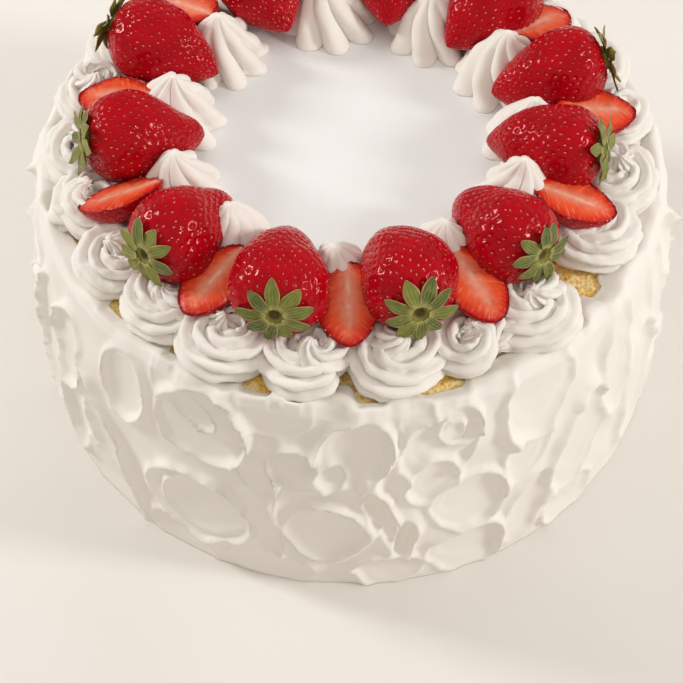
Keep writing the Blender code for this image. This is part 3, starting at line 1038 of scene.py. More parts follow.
@dataclass
class SideCream:
    """The coat of cream round the side, with the strokes of the palette knife and its folded rim."""

    radius: float = 109.9
    foot_tuck: float = 0.6
    shoulder_tuck: float = 6.5
    shoulder_start: float = 0.3
    height: float = 94.0
    wall_top: float = 90.0
    inner_radius: float = 100.35
    thinnest: float = 1.6
    thickest: float = 10.6
    # Cream that no stroke met lies this far inside the coat's radius, so that the lips stand proud
    ground: float = -1.9
    stroke_depth: float = 2.1
    # Level of a bowl's edge, as a share of the ground's
    bowl_edge: float = 0.6
    lip_height: float = 2.9
    # Height of a lip on its low side, as a share of its high side's
    lip_least: float = 0.42
    # How far a lip runs out into its bowl and away from it
    lip_inner: float = 0.9
    lip_outer: float = 1.4
    lip_radius: float = 94.5
    # Wavelength and height of what bends the strokes, tears their lips and lifts the rim
    warp: tuple[tuple[float, float], ...] = ((24, 1.2), (8, 0.28))
    torn: tuple[tuple[float, float], ...] = ((9, 0.25), (3, 0.06))
    waves: tuple[float, float] = (20, 0.5)
    crest_waves: tuple[tuple[float, float], ...] = ((30, 0.9), (9, 0.4))
    lip_waves: tuple[float, float] = (18, 1.2)
    rim_waves: tuple[float, float] = (8, 0.35)
    # Height of the arcs in a bowl, and their phase from its middle to its edge
    drag_height: float = 0.22
    drag_turns: float = 13.0
    # How much a place's mark follows its height over its surroundings, and its height itself:
    # the mark paints light where the cream stands out and shade where it lies low
    crest_gain: float = 0.6
    level_gain: float = 0.1
    columns: int = 780
    wall_rows: int = 106
    rim_rows: int = 14
    crowding: float = 0.25
    rest_columns: int = 16
    rest_levels: tuple[float, ...] = (14, 44, 74)
    rest_arc: tuple[float, float] = (345, 560)
    seed: int = 12

    def rest_strokes(self) -> list[Stroke]:
        """Spread strokes over the side that was not photographed, by a jittered grid.

        Returns:
            The strokes, in the order in which the knife made them.
        """
        draw = np.random.default_rng(self.seed)
        first, last = self.rest_arc
        strokes = []
        for column in range(self.rest_columns):
            for row, level in enumerate(self.rest_levels):
                share = (column + 0.5 * (row % 2) + draw.uniform(-0.2, 0.2)) / self.rest_columns
                stroke = Stroke(
                    first + share * (last - first),
                    level + draw.uniform(-6, 6),
                    draw.uniform(10, 17),
                    draw.uniform(12, 22),
                    draw.uniform(-30, 30),
                    draw.uniform(0, 360),
                    draw.uniform(0.6, 1.15),
                    draw.uniform(0.8, 1.1),
                )
                strokes.append(stroke)
        order = draw.permutation(len(strokes))
        return [strokes[number] for number in order]

    def plain_radius(self, height: Array) -> Array:
        """Give the coat's radius without strokes.

        Args:
            height: heights above the floor.

        Returns:
            The radius at each height.
        """
        share = height / self.height
        foot = self.foot_tuck * (1 - smoothstep(0.0, 0.12, share))
        above = np.maximum(share - self.shoulder_start, 0.0) / (1 - self.shoulder_start)
        return self.radius - foot - self.shoulder_tuck * above**2

    def bowl(self, stroke: Stroke, number: int, distance: Array, turn: Array) -> Array:
        """Draw the bottom of one stroke, with the arcs that the knife dragged in it.

        Args:
            stroke: the stroke.
            number: its number, which shifts its arcs.
            distance: how far places lie from its middle, 1 being its edge.
            turn: their direction from its middle, 0 being that of its highest lip.

        Returns:
            How far the coat stands out there.
        """
        within = np.minimum(distance, 1.0)
        # The bowl is shallow where the knife came in and deepest in front of its lip
        depth = self.stroke_depth * stroke.depth * (1 + 0.3 * within * np.cos(turn))
        bottom = self.ground * self.bowl_edge - depth * (1 - within**2.2)
        arcs = np.sin(distance * self.drag_turns + 2.2 * np.sin(turn + number))
        drag = smoothstep(0.35, 0.75, distance) * (0.5 + 0.5 * np.cos(turn - 2.2))
        return bottom + self.drag_height * arcs * drag

    def lip(self, stroke: Stroke, distance: Array, turn: Array) -> Array:
        """Draw the cream that one stroke pushed up along its edge.

        Args:
            stroke: the stroke.
            distance: how far places lie from its middle, 1 being its edge.
            turn: their direction from its middle, 0 being that of its highest lip.

        Returns:
            The height of the lip there.
        """
        beyond = (distance - 1.0) * min(stroke.half_width, stroke.half_height)
        width = np.where(beyond > 0, self.lip_outer, self.lip_inner)
        swell = self.lip_least + (1 - self.lip_least) * (0.5 + 0.5 * np.cos(turn)) ** 1.2
        return self.lip_height * stroke.lip * swell * np.exp(-(np.abs(beyond / width) ** 1.6))

    def relief(self, azimuth: Array, height: Array) -> Array:
        """Press all strokes into the coat, each wiping out what it meets of the ones before.

        Args:
            azimuth: azimuths of the places, in degrees.
            height: their heights.

        Returns:
            How far the coat stands out there.
        """
        angle = np.radians(azimuth)
        places = np.stack([110 * np.cos(angle), 110 * np.sin(angle), height], axis=-1)
        warp_across = heaped((3, 4), self.warp, places)
        warp_along = heaped((5, 6), self.warp, places)
        torn = 1 + heaped((7, 9), self.torn, places)
        relief = self.ground + heaped((8,), (self.waves,), places)
        for number, stroke in enumerate(self.rest_strokes() + list(FRONT_STROKES)):
            across = np.radians(turn_between(stroke.azimuth, azimuth)) * self.radius + warp_across
            along = height - stroke.height + warp_along
            slant = math.radians(stroke.tilt)
            side = (across * math.cos(slant) + along * math.sin(slant)) / stroke.half_width
            rise = (along * math.cos(slant) - across * math.sin(slant)) / stroke.half_height
            distance = np.hypot(side, rise)
            turn = np.arctan2(rise, side) - math.radians(stroke.lip_turn)
            inside = 1 - smoothstep(0.92, 1.03, distance)
            bowl = self.bowl(stroke, number, distance, turn)
            relief = relief * (1 - inside) + bowl * inside + self.lip(stroke, distance, turn) * torn
        return relief

    def rim_lip(self, azimuth: Array, circle: Array) -> Array:
        """Draw where the rim ends on the sponge.

        Args:
            azimuth: azimuths of the places, in degrees.
            circle: the places on a circle round the axis.

        Returns:
            The radius of the rim's lip at each azimuth.
        """
        lip = self.lip_radius + heaped((23,), (self.lip_waves,), circle)
        for stretch in RIM_STRETCHES:
            away = np.abs(turn_between(stretch.azimuth, azimuth)) / stretch.half_width
            near = 1 - smoothstep(0.75, 1.25, away)
            lip = lip * (1 - near) + stretch.lip_radius * near
        return lip

    def surface(self) -> Surface:
        """Draw the coat: up the wall, over the rim to the lip, and back inside.

        Returns:
            The closed surface.
        """
        # The columns crowd on the side that was photographed
        turn = np.linspace(0, 2 * math.pi, self.columns, endpoint=False)
        azimuth = np.degrees(turn - self.crowding * np.cos(turn))[None, :]
        height = np.linspace(0, self.wall_top, self.wall_rows)[:, None]
        azimuth_grid, height_grid = np.broadcast_arrays(azimuth, height)
        fade = 1 - 0.6 * smoothstep(0.84, 1.0, height_grid / self.height)
        fade = fade * (0.45 + 0.55 * smoothstep(0.0, 9.0, height_grid))
        radius = self.plain_radius(height_grid) + self.relief(azimuth_grid, height_grid) * fade
        radius = np.clip(radius, self.inner_radius + self.thinnest, self.inner_radius + self.thickest)

        angle = np.radians(azimuth[0])
        circle = np.stack([100 * np.cos(angle), 100 * np.sin(angle), 0 * angle], axis=-1)
        crest = self.height - 0.4 + heaped((21, 22), self.crest_waves, circle)
        lip = self.rim_lip(azimuth[0], circle)
        share = np.linspace(0, 1, self.rim_rows + 1)[1:, None]
        rim_radius = radius[-1] + (lip - radius[-1]) * share
        rise = np.sin(math.pi / 2 * smoothstep(0.0, 0.34, share))
        fall = smoothstep(0.35, 1.0, share)
        rim_height = self.wall_top + (crest - self.wall_top) * rise - (crest - SPONGE_TOP - 0.6) * fall
        rim_points = np.stack(
            [rim_radius * np.cos(angle), rim_radius * np.sin(angle), 0 * rim_radius], axis=-1
        )
        uneven = heaped((24,), (self.rim_waves,), rim_points)
        rim_height = rim_height + uneven * np.sin(math.pi * share)

        inside = np.ones_like(angle)
        back = [
            (lip, SPONGE_TOP - CONTACT),
            (self.inner_radius * inside, SPONGE_TOP - 2 * CONTACT),
            (self.inner_radius * inside, 0.0),
        ]
        radii = np.vstack([radius, rim_radius, *[row for row, _ in back]])
        heights = np.vstack(
            [height_grid, rim_height, *[np.full_like(angle, level) for _, level in back]]
        )
        rings = np.stack([radii * np.cos(angle), radii * np.sin(angle), heights], axis=-1)
        relief = radii - np.vstack([self.plain_radius(height_grid), rim_radius, radii[-len(back) :]])
        # Painted light on lips and crests, and painted shade in bowls and hollows
        stand = 0.5 + self.crest_gain * (relief - spread_out(relief, 5)) + self.level_gain * relief
        marks = np.stack([np.clip(stand, 0, 1), 0 * radii, 0 * radii], axis=-1)
        return loft(rings, marks=marks, ring_of_rings=True)

    def build(self) -> None:
        """Make the piece and dress it."""
        make_piece("side_cream_coat", self.surface(), [CREAM], "side_cream")


@dataclass
class TopCream:
    """The smooth sheet of cream in the middle of the top."""

    rows: int = 24
    columns: int = 120
    edge_round: float = 1.6
    swell: float = 0.18

    def surface(self) -> Surface:
        """Draw the sheet as a disc with a rounded edge and a faint unevenness.

        Returns:
            The closed surface.
        """
        angle = np.linspace(0, 2 * math.pi, self.columns, endpoint=False)
        radius = SHEET_RADIUS * np.linspace(0.01, 1, self.rows)[:, None] + 0 * angle
        points = np.stack([radius * np.cos(angle), radius * np.sin(angle), 0 * radius], axis=-1)
        drop = self.edge_round * smoothstep(SHEET_RADIUS - 2, SHEET_RADIUS, radius)
        points[..., 2] = SHEET_TOP - drop + self.swell * Unevenness(31, 45).at(points)
        foot = points[-1:].copy()
        foot[..., 2] = SPONGE_TOP - CONTACT
        middle = foot * np.array([0.01, 0.01, 1.0])
        return loft(np.concatenate([points, foot, middle]))

    def build(self) -> None:
        """Make the piece and dress it."""
        make_piece("top_cream_sheet", self.surface(), [SMOOTH_CREAM], "top_cream")


@dataclass
class Sponge:
    """The round golden sponge, its top crumb modelled where it shows between the cream."""

    columns: int = 420
    crumb_rows: int = 18
    crumb_from: float = 86.0
    crumb_depth: float = 0.55
    edge_round: float = 1.2

    def surface(self) -> Surface:
        """Draw the sponge from the middle of its top to the middle of its underside.

        Returns:
            The closed surface.
        """
        angle = np.linspace(0, 2 * math.pi, self.columns, endpoint=False)
        radii = np.concatenate([[0.5], np.linspace(self.crumb_from, SPONGE_RADIUS, self.crumb_rows)])
        radius = radii[:, None] + 0 * angle
        points = np.stack([radius * np.cos(angle), radius * np.sin(angle), 0 * radius], axis=-1)
        rough = 0.5 * Unevenness(41, 3.2, 30).at(points) + 0.5 * Unevenness(42, 1.7, 30).at(points)
        drop = self.edge_round * smoothstep(SPONGE_RADIUS - 2, SPONGE_RADIUS, radius)
        points[..., 2] = SPONGE_TOP - drop - self.crumb_depth * np.clip(0.5 + rough, 0, 1.6)
        foot = points[-1:].copy()
        foot[..., 2] = 0.0
        middle = foot * np.array([0.005, 0.005, 1.0])
        return loft(np.concatenate([points, foot, middle]))

    def build(self) -> None:
        """Make the piece and dress it."""
        make_piece("golden_sponge_body", self.surface(), [CRUMB], "sponge")


# Piped cream


def lobes(angle: Array, count: int, sharpness: float = 0.75) -> Array:
    """Give a star nozzle's section: round lobes with narrow creases between, from about -1 to 0.6."""
    return 1.9 * np.abs(np.cos(count * angle / 2)) ** sharpness - 1.3


def rope(path: Array, radii: Array, count: int, depth: float, twist: float, around: int) -> Array:
    """Sweep a star-shaped section along a path, as cream leaves a star nozzle.

    Args:
        path: points of the middle line.
        radii: radius of the rope at each point.
        count: lobes of the star.
        depth: depth of the creases, as a share of the radius.
        twist: turn of the section along the whole path, in radians.
        around: points round each ring.

    Returns:
        The rings of the rope.
    """
    tangents = np.gradient(path, axis=0)
    tangents /= np.linalg.norm(tangents, axis=1)[:, None]
    side = np.array([0.0, 0.0, 1.0])
    angle = np.linspace(0, 2 * math.pi, around, endpoint=False)
    rings = []
    for number, (point, tangent, radius) in enumerate(zip(path, tangents, radii)):
        side = side - tangent * float(side @ tangent)
        side /= np.linalg.norm(side)
        other = np.cross(tangent, side)
        turned = angle + twist * number / len(path)
        star = radius * (1 + depth * lobes(angle, count))
        ring = np.cos(turned)[:, None] * side + np.sin(turned)[:, None] * other
        rings.append(point + ring * star[:, None])
    return np.array(rings)


def light_and_shade_marks(rings: Array, count: int, lift: float) -> Array:
    """Mark how much each place of a piped form stands out, to paint light on the lobes and shade in the
    creases.

    Args:
        rings: points by ring and by place on the ring.
        count: lobes of the star.
        lift: added to all marks.

    Returns:
        A mark for each point: 0 in a crease (painted shade) and 1 on a lobe (painted light), lower near the
            foot.
    """
    angle = np.linspace(0, 2 * math.pi, rings.shape[1], endpoint=False)
    stand = np.broadcast_to(0.55 + lift + 0.5 * lobes(angle, count), rings.shape[:2])
    # Painted shade near the foot: the marks fall within 5 mm of the surface that the form stands on
    low = 0.35 * (1 - smoothstep(0.0, 5.0, rings[..., 2]))
    return np.stack([np.clip(stand - low, 0, 1), 0 * stand, 0 * stand], axis=-1)


@dataclass(frozen=True)
class Rosette:
    """One rosette: where it stands, which way it was piped and how far it was wound."""

    azimuth: float
    distance: float = 86.0
    turns: float = 1.35
    start: float = 0.0
    clockwise: bool = False
    size: float = 1.0


# The rosettes of the side that was photographed
FRONT_ROSETTES = (
    Rosette(213, 86.5, 1.2, 200, False, 1.0),
    Rosette(229, 86.0, 1.5, 120, True, 0.98),
    Rosette(244.5, 86.0, 1.4, 150, False, 1.08),
    Rosette(262, 86.0, 1.3, 60, True, 1.05),
    Rosette(279.5, 85.5, 1.5, 180, False, 1.05),
    Rosette(295, 86.5, 1.2, 40, False, 0.98),
    Rosette(309, 86.5, 1.4, 100, True, 1.1),
    Rosette(334, 84.5, 1.5, 170, False, 1.05),
    Rosette(351, 86.5, 1.3, 90, True, 1.0),
    Rosette(368, 86.5, 1.4, 30, False, 1.0),
)


@dataclass
class PipedRosettes:
    """The rosettes along the edge: a star-nozzle rope wound round once and a half and pulled off."""

    rest: int = 12
    rope_radius: float = 6.4
    wind_radius: float = 7.2
    height: float = 15.5
    star_lobes: int = 9
    crease: float = 0.27
    twist: float = 3.0
    # Wavelength and height of the cream's lumps and tears
    roughness: tuple[tuple[float, float], ...] = ((6, 0.35), (2.6, 0.16))
    along: int = 72
    around: int = 54
    seed: int = 5

    def places(self) -> list[Rosette]:
        """List the front rosettes and those that fill the rest of the circle.

        Returns:
            All rosettes.
        """
        draw = np.random.default_rng(self.seed)
        first = FRONT_ROSETTES[-1].azimuth
        step = (FRONT_ROSETTES[0].azimuth + 360 - first) / (self.rest + 1)
        others = [
            Rosette(
                first + step * number + draw.uniform(-0.8, 0.8),
                86 + draw.uniform(-0.8, 0.8),
                draw.uniform(1.2, 1.55),
                draw.uniform(0, 360),
                bool(draw.integers(2)),
                draw.uniform(0.97, 1.06),
            )
            for number in range(1, self.rest + 1)
        ]
        return [*FRONT_ROSETTES, *others]

    def surface(self, rosette: Rosette, number: int) -> Surface:
        """Draw one rosette.

        Args:
            rosette: its place and piping.
            number: its number, which seeds its unevenness.

        Returns:
            Its closed surface in its own place.
        """
        share = np.linspace(0, 1, self.along)
        hand = -1 if rosette.clockwise else 1
        angle = math.radians(rosette.start) + hand * 2 * math.pi * rosette.turns * share**0.94
        draw_in = smoothstep(0.52, 0.96, share)
        wind = self.wind_radius * rosette.size * (1 - 0.12 * share) * (1 - draw_in)
        rope_radius = self.rope_radius * rosette.size
        level = 0.78 * rope_radius + 1.2 * share
        peak = self.height * rosette.size - 0.6
        rise = level + (peak - level) * smoothstep(0.5, 1.0, share) ** 1.25
        path = np.stack([wind * np.cos(angle), wind * np.sin(angle), rise], axis=-1)
        path[:, :2] += np.random.default_rng(100 + number).uniform(-1.2, 1.2, 2) * draw_in[:, None]
        start = np.sqrt(np.clip(share / 0.05, 0, 1))
        end = (1 - smoothstep(0.64, 1.03, share)) ** 0.8
        surge = 1 + 0.05 * np.sin(share * 17 + number) + 0.03 * np.sin(share * 41 + 2 * number)
        radii = rope_radius * np.clip(start, 0.15, 1) * end * surge + 0.35
        path[:, :2] += 0.5 * np.sin(share * 13 + number)[:, None] * np.array([1.0, -1.0])
        rings = rope(path, radii, self.star_lobes, self.crease, hand * self.twist, self.around)
        rough = heaped((200 + number, 240 + number), self.roughness, rings)
        rings = rings + grid_normals(rings) * rough[..., None]
        rings[..., 2] = np.maximum(rings[..., 2], -CONTACT)
        marks = light_and_shade_marks(rings, self.star_lobes, 0.0)
        return loft(rings, marks=marks).moved(place_at(rosette.azimuth, rosette.distance, SPONGE_TOP))

    def build(self) -> None:
        """Make each rosette and dress it."""
        for number, rosette in enumerate(self.places(), start=1):
            surface = self.surface(rosette, number)
            node = f"outer_rosette_{number:02d}"
            make_piece(f"piped_rosette_{number:02d}", surface, [CREAM], node)


@dataclass
class PipedDrops:
    """The tall drops round the middle: a star nozzle held still and pulled up to a point."""

    azimuths: tuple[float, ...] = (137, 170, 202, 231, 266, 299, 332, 361, 391, 421, 457)
    ring_radius: float = 59.0
    foot_radius: float = 13.0
    height: float = 23.0
    star_lobes: int = 8
    crease: float = 0.2
    twist: tuple[float, float] = (0.6, 1.25)
    lean: float = 2.0
    levels: int = 42
    around: int = 80
    seed: int = 8

    def surface(self, azimuth: float, number: int) -> Surface:
        """Draw one drop.

        Args:
            azimuth: where it stands.
            number: its number, which seeds its unevenness.

        Returns:
            Its closed surface in its own place.
        """
        draw = np.random.default_rng(self.seed * 100 + number)
        size = draw.uniform(0.95, 1.05)
        twist = draw.uniform(*self.twist) * draw.choice([-1, 1])
        lean = draw.uniform(-self.lean, self.lean, 2)
        level = np.linspace(0, 1, self.levels)[:, None]
        angle = np.linspace(0, 2 * math.pi, self.around, endpoint=False)
        outline = (1 - level**1.35) ** 0.8 * (1 + 0.10 * np.sin(math.pi * level))
        foot = 1 + 0.12 * (1 - smoothstep(0.0, 0.16, level))
        star = 1 + self.crease * (1 - 0.5 * level) * lobes(angle, self.star_lobes)
        radius = self.foot_radius * size * outline * foot * star + 0.35
        turned = angle + twist * level**1.2
        height = self.height * size * draw.uniform(0.95, 1.04) * level
        rings = np.stack([radius * np.cos(turned), radius * np.sin(turned), height + 0 * angle], axis=-1)
        rings[..., :2] += lean * (level**2)[..., None]
        rings = rings + 0.35 * grid_normals(rings) * Unevenness(300 + number, 9).at(rings)[..., None]
        rings[..., 2] = np.maximum(rings[..., 2], -CONTACT)
        marks = light_and_shade_marks(rings, self.star_lobes, 0.1)
        place = place_at(azimuth, self.ring_radius, SHEET_TOP, yaw=draw.uniform(0, 60))
        return loft(rings, marks=marks).moved(place)

    def build(self) -> None:
        """Make each drop and dress it."""
        for number, azimuth in enumerate(self.azimuths, start=1):
            surface = self.surface(azimuth, number)
            make_piece(f"piped_drop_{number:02d}", surface, [CREAM], f"inner_drop_{number:02d}")


# Strawberries


@dataclass(frozen=True)
class FruitProfile:
    """A strawberry's turned outline, from the leafy end at +X to the tip at -X."""

    length: float
    width: float
    widest: float = 0.36
    bluntness: float = 0.66

    def radius(self, share: Array) -> Array:
        """Give the radius of the outline.

        Args:
            share: shares of the length from the leafy end.

        Returns:
            The radius at each share.
        """
        bend = math.log(0.5) / math.log(self.widest)
        rounded = np.maximum(np.sin(math.pi * np.clip(share, 0, 1) ** bend), 0.0)
        return self.width / 2 * rounded**self.bluntness

    def even_shares(self, rings: int) -> Array:
        """Give shares that lie evenly along the outline.

        Args:
            rings: how many.

        Returns:
            The shares, without the two poles.
        """
        share = np.linspace(0, 1, 2001)
        step = np.hypot(np.diff(share) * self.length, np.diff(self.radius(share)))
        arc = np.concatenate([[0], np.cumsum(step)])
        return np.interp(np.linspace(0.004, 0.996, rings) * arc[-1], arc, share)

    def point(self, share: Array, angle: Array) -> Array:
        """Give points of the skin.

        Args:
            share: shares of the length from the leafy end.
            angle: angles about the axis.

        Returns:
            The points.
        """
        radius = self.radius(share)
        along = self.length / 2 - share * self.length
        return np.stack([along + 0 * angle, radius * np.cos(angle), radius * np.sin(angle)], axis=-1)


@dataclass(frozen=True)
class SeedLattice:
    """The seeds of a strawberry: places spread by the golden angle, their dents, and the husks."""

    profile: FruitProfile
    spacing_wide: float = 2.9
    spacing_tip: float = 2.05
    dent_depth: float = 0.3
    pit_depth: float = 0.16
    pit_radius: float = 0.75
    stray: float = 0.5
    husk_half_length: float = 0.54
    husk_half_width: float = 0.26

    def spacing(self, share: Array) -> Array:
        """Give the spacing of the seeds, which close up towards the tip."""
        return self.spacing_wide + (self.spacing_tip - self.spacing_wide) * smoothstep(0.45, 1.0, share)

    def places(self) -> tuple[Array, Array]:
        """Spread the seeds evenly over the skin.

        Returns:
            The share of the length and the angle of each seed.
        """
        share = np.linspace(0, 1, 2001)
        middle = (share[1:] + share[:-1]) / 2
        radius = self.profile.radius(middle)
        step = np.hypot(np.diff(share) * self.profile.length, np.diff(self.profile.radius(share)))
        cells = 2 * math.pi * radius * step / (0.87 * self.spacing(middle) ** 2)
        count = np.concatenate([[0], np.cumsum(cells)])
        number = np.arange(int(count[-1]))
        draw = np.random.default_rng(len(number))
        stray = draw.uniform(-0.5, 0.5, (2, len(number))) * self.stray
        shares = np.interp(number + 0.5, count, share)
        turns = stray[0] * self.spacing(shares) / np.maximum(self.profile.radius(shares), 2.0)
        shares = np.clip(shares + stray[1] * self.spacing(shares) / self.profile.length, 0.01, 0.99)
        return shares, (number * GOLDEN_ANGLE + turns) % (2 * math.pi)

    def dents(self, skin: Array, seeds: Array, shares: Array) -> tuple[Array, Array]:
        """Measure how deep each point of the skin lies in the dent of its nearest seed.

        Args:
            skin: points of the skin.
            seeds: points of the seeds.
            shares: share of the length of each seed.

        Returns:
            The depth in millimetres, and the depth as a share of the deepest.
        """
        tree = KDTree(len(seeds))
        for number, seed in enumerate(seeds):
            tree.insert(seed, number)
        tree.balance()
        found = [tree.find_n(point, 2) for point in skin.reshape(-1, 3)]
        nearest = np.array([pair[0][2] for pair in found])
        second = np.array([pair[1][2] for pair in found])
        spacing = self.spacing(shares)[np.array([pair[0][1] for pair in found])]
        # The ridges run half way between two seeds, so they close into a net
        bowl = 1 - (2 * nearest / np.maximum(nearest + second, 1e-6)) ** 2.2
        pit = 1 - smoothstep(0.1, self.pit_radius, nearest)
        depth = (self.dent_depth * bowl + self.pit_depth * pit) * spacing / self.spacing_wide
        # This share is also the mark by which the skin is painted darker in its dents: painted shade
        dent = np.clip(0.45 * bowl + 0.55 * pit, 0, 1)
        return depth.reshape(skin.shape[:-1]), dent.reshape(skin.shape[:-1])

    def husks(self, seeds: Array, normals: Array, slot: int) -> Surface:
        """Draw the husks as one surface, each a small pointed lens that lies in its dent.

        Args:
            seeds: points of the seeds on the skin.
            normals: outward normals there.
            slot: finish number.

        Returns:
            The husks.
        """
        forward = np.array([1.0, 0.0, 0.0]) - normals * normals[:, :1]
        forward /= np.maximum(np.linalg.norm(forward, axis=1, keepdims=True), 1e-6)
        across = np.cross(normals, forward)
        turn = np.linspace(0, 2 * math.pi, 6, endpoint=False)
        along_rim = forward[:, None, :] * (self.husk_half_length * np.cos(turn))[:, None]
        across_rim = across[:, None, :] * (self.husk_half_width * np.sin(turn))[:, None]
        lens = [along_rim + across_rim, 0.32 * normals[:, None, :], -0.3 * normals[:, None, :]]
        sunk = self.dent_depth + 0.4 * self.pit_depth
        points = (seeds - normals * sunk)[:, None, :] + np.concatenate(lens, axis=1)
        fan = [(corner, (corner + 1) % 6, 6) for corner in range(6)]
        fan += [((corner + 1) % 6, corner, 7) for corner in range(6)]
        triangles = np.array(fan)[None] + 8 * np.arange(len(seeds))[:, None, None]
        flat = points.reshape(-1, 3)
        count = len(fan) * len(seeds)
        return Surface(flat, triangles.reshape(-1, 3), np.full(count, slot), np.zeros_like(flat)).outwards()


@dataclass(frozen=True)
class WholeFruit:
    """Where a whole strawberry lies: azimuth, distance of its middle, yaw and size."""

    azimuth: float
    distance: float
    yaw: float
    size: float
    crown_turn: float = 0.0
    crown_lift: float = 0.3


WHOLE_FRUIT = (
    WholeFruit(153, 68.5, 5, 1.00, 10, 0.6),
    WholeFruit(188, 66.0, 6, 1.00, 25, 0.9),
    WholeFruit(223.5, 68.0, 6, 0.99, 0, 0.2),
    WholeFruit(252.6, 68.0, 12, 1.02, 14, 0.1),
    WholeFruit(283.8, 66.5, -1, 1.01, 32, 0.1),
    WholeFruit(313.8, 65.0, -3, 0.99, 5, 0.3),
    WholeFruit(348, 62.5, -6, 0.98, 20, 0.6),
    WholeFruit(375.5, 67.0, -4, 0.99, 8, 0.9),
    WholeFruit(406, 67.0, -3, 1.00, 17, 0.4),
    WholeFruit(437, 66.5, 2, 0.98, 29, 0.5),
    WholeFruit(477, 67.0, 5, 1.00, 3, 0.5),
)


@dataclass
class Crown:
    """The crown of sepals at the leafy end, with the scar of the stalk in its middle."""

    sepals: int = 9
    reach: float = 12.0
    width: float = 4.7
    foot_radius: float = 2.6
    thickness: float = 0.45
    drop: float = 2.6
    clearance: float = 0.9
    rows: int = 13
    half_ring: int = 6
    scar_radius: float = 4.0

    def sepal(
        self, angle: float, reach: float, width: float, lift: float, curl: float, tone: float
    ) -> Surface:
        """Draw one sepal.

        Args:
            angle: its direction about the fruit's axis.
            reach: distance of its tip from the axis.
            width: its widest width.
            lift: how far its tip stands away from the fruit.
            curl: how far its edges bend away from the fruit.
            tone: how dark it is, from 0 to 1.

        Returns:
            The closed sepal, with the fruit's axis along +X.
        """
        share = np.linspace(0, 1, self.rows)
        belly = np.sin(math.pi * (0.1 + 0.9 * share**1.15)) ** 0.66
        half = width / 2 * np.maximum(belly, 0.03)
        distance = self.foot_radius + (reach - self.foot_radius) * share
        shoulder = -self.drop * (distance / self.reach) ** 2.2
        bend = self.clearance + shoulder + lift * share**1.7
        across = np.linspace(-1, 1, self.half_ring)
        across = np.concatenate([across, across[::-1]])
        face = np.concatenate([np.ones(self.half_ring), -np.ones(self.half_ring)])
        thin = self.thickness / 2 * np.sqrt(np.clip(1.05 - across**2, 0.02, 1)) * face
        outwards = np.array([0.0, math.cos(angle), math.sin(angle)])
        sideways = np.array([0.0, -math.sin(angle), math.cos(angle)])
        up = np.array([1.0, 0.0, 0.0])
        wave = 0.25 * np.sin(9 * share + 5 * tone)[:, None] * across**2
        raised = bend[:, None] + curl * (across**2) * belly[:, None] + wave + thin
        raised = raised - 0.25 * (1 - np.abs(across)) ** 2 * belly[:, None]
        rings = (
            distance[:, None, None] * outwards
            + (half[:, None] * across)[..., None] * sideways
            + raised[..., None] * up
        )
        marks = np.stack(np.broadcast_arrays(share[:, None], across[None, :], tone), axis=-1)
        return loft(rings, marks=np.array(marks, dtype=float))

    def scar(self) -> Surface:
        """Draw the scar of the stalk: a pit in a low ring, its back hidden in the fruit.

        Returns:
            The closed scar.
        """
        radius = np.array([0.3, 1.1, 1.9, 2.5, 3.0, 3.4, 3.8, self.scar_radius, 3.0, 0.5])
        height = np.array([-0.7, -0.5, 0.0, 0.5, 0.6, 0.35, 0.0, -0.8, -2.5, -2.5])
        angle = np.linspace(0, 2 * math.pi, 36, endpoint=False)
        star = 1 + 0.06 * np.cos(9 * angle) * smoothstep(1.5, 4.0, radius)[:, None]
        wide = radius[:, None] * star
        rings = np.stack([height[:, None] + 0 * wide, wide * np.cos(angle), wide * np.sin(angle)], axis=-1)
        share = np.broadcast_to((radius / self.scar_radius)[:, None], wide.shape)
        marks = np.stack([share, 0 * wide, 0 * wide], axis=-1)
        return loft(rings, marks=marks, slot=1)

    def surface(self, fruit: WholeFruit, number: int) -> Surface:
        """Draw the whole crown, with the middle of its foot at the origin.

        Args:
            fruit: the strawberry that it sits on.
            number: its number, which seeds its unevenness.

        Returns:
            The crown's surface.
        """
        draw = np.random.default_rng(700 + number)
        parts = [self.scar()]
        for count in range(self.sepals):
            angle = 2 * math.pi * count / self.sepals + math.radians(fruit.crown_turn)
            angle += draw.uniform(-0.12, 0.12)
            lift = fruit.crown_lift * draw.uniform(0.5, 6.0) - 0.5 * (count % 2)
            sepal = self.sepal(
                angle,
                self.reach * draw.uniform(0.84, 1.04),
                self.width * draw.uniform(0.85, 1.1),
                lift,
                draw.uniform(-0.2, 0.9),
                draw.uniform(0, 1),
            )
            parts.append(sepal)
        return joined(parts)


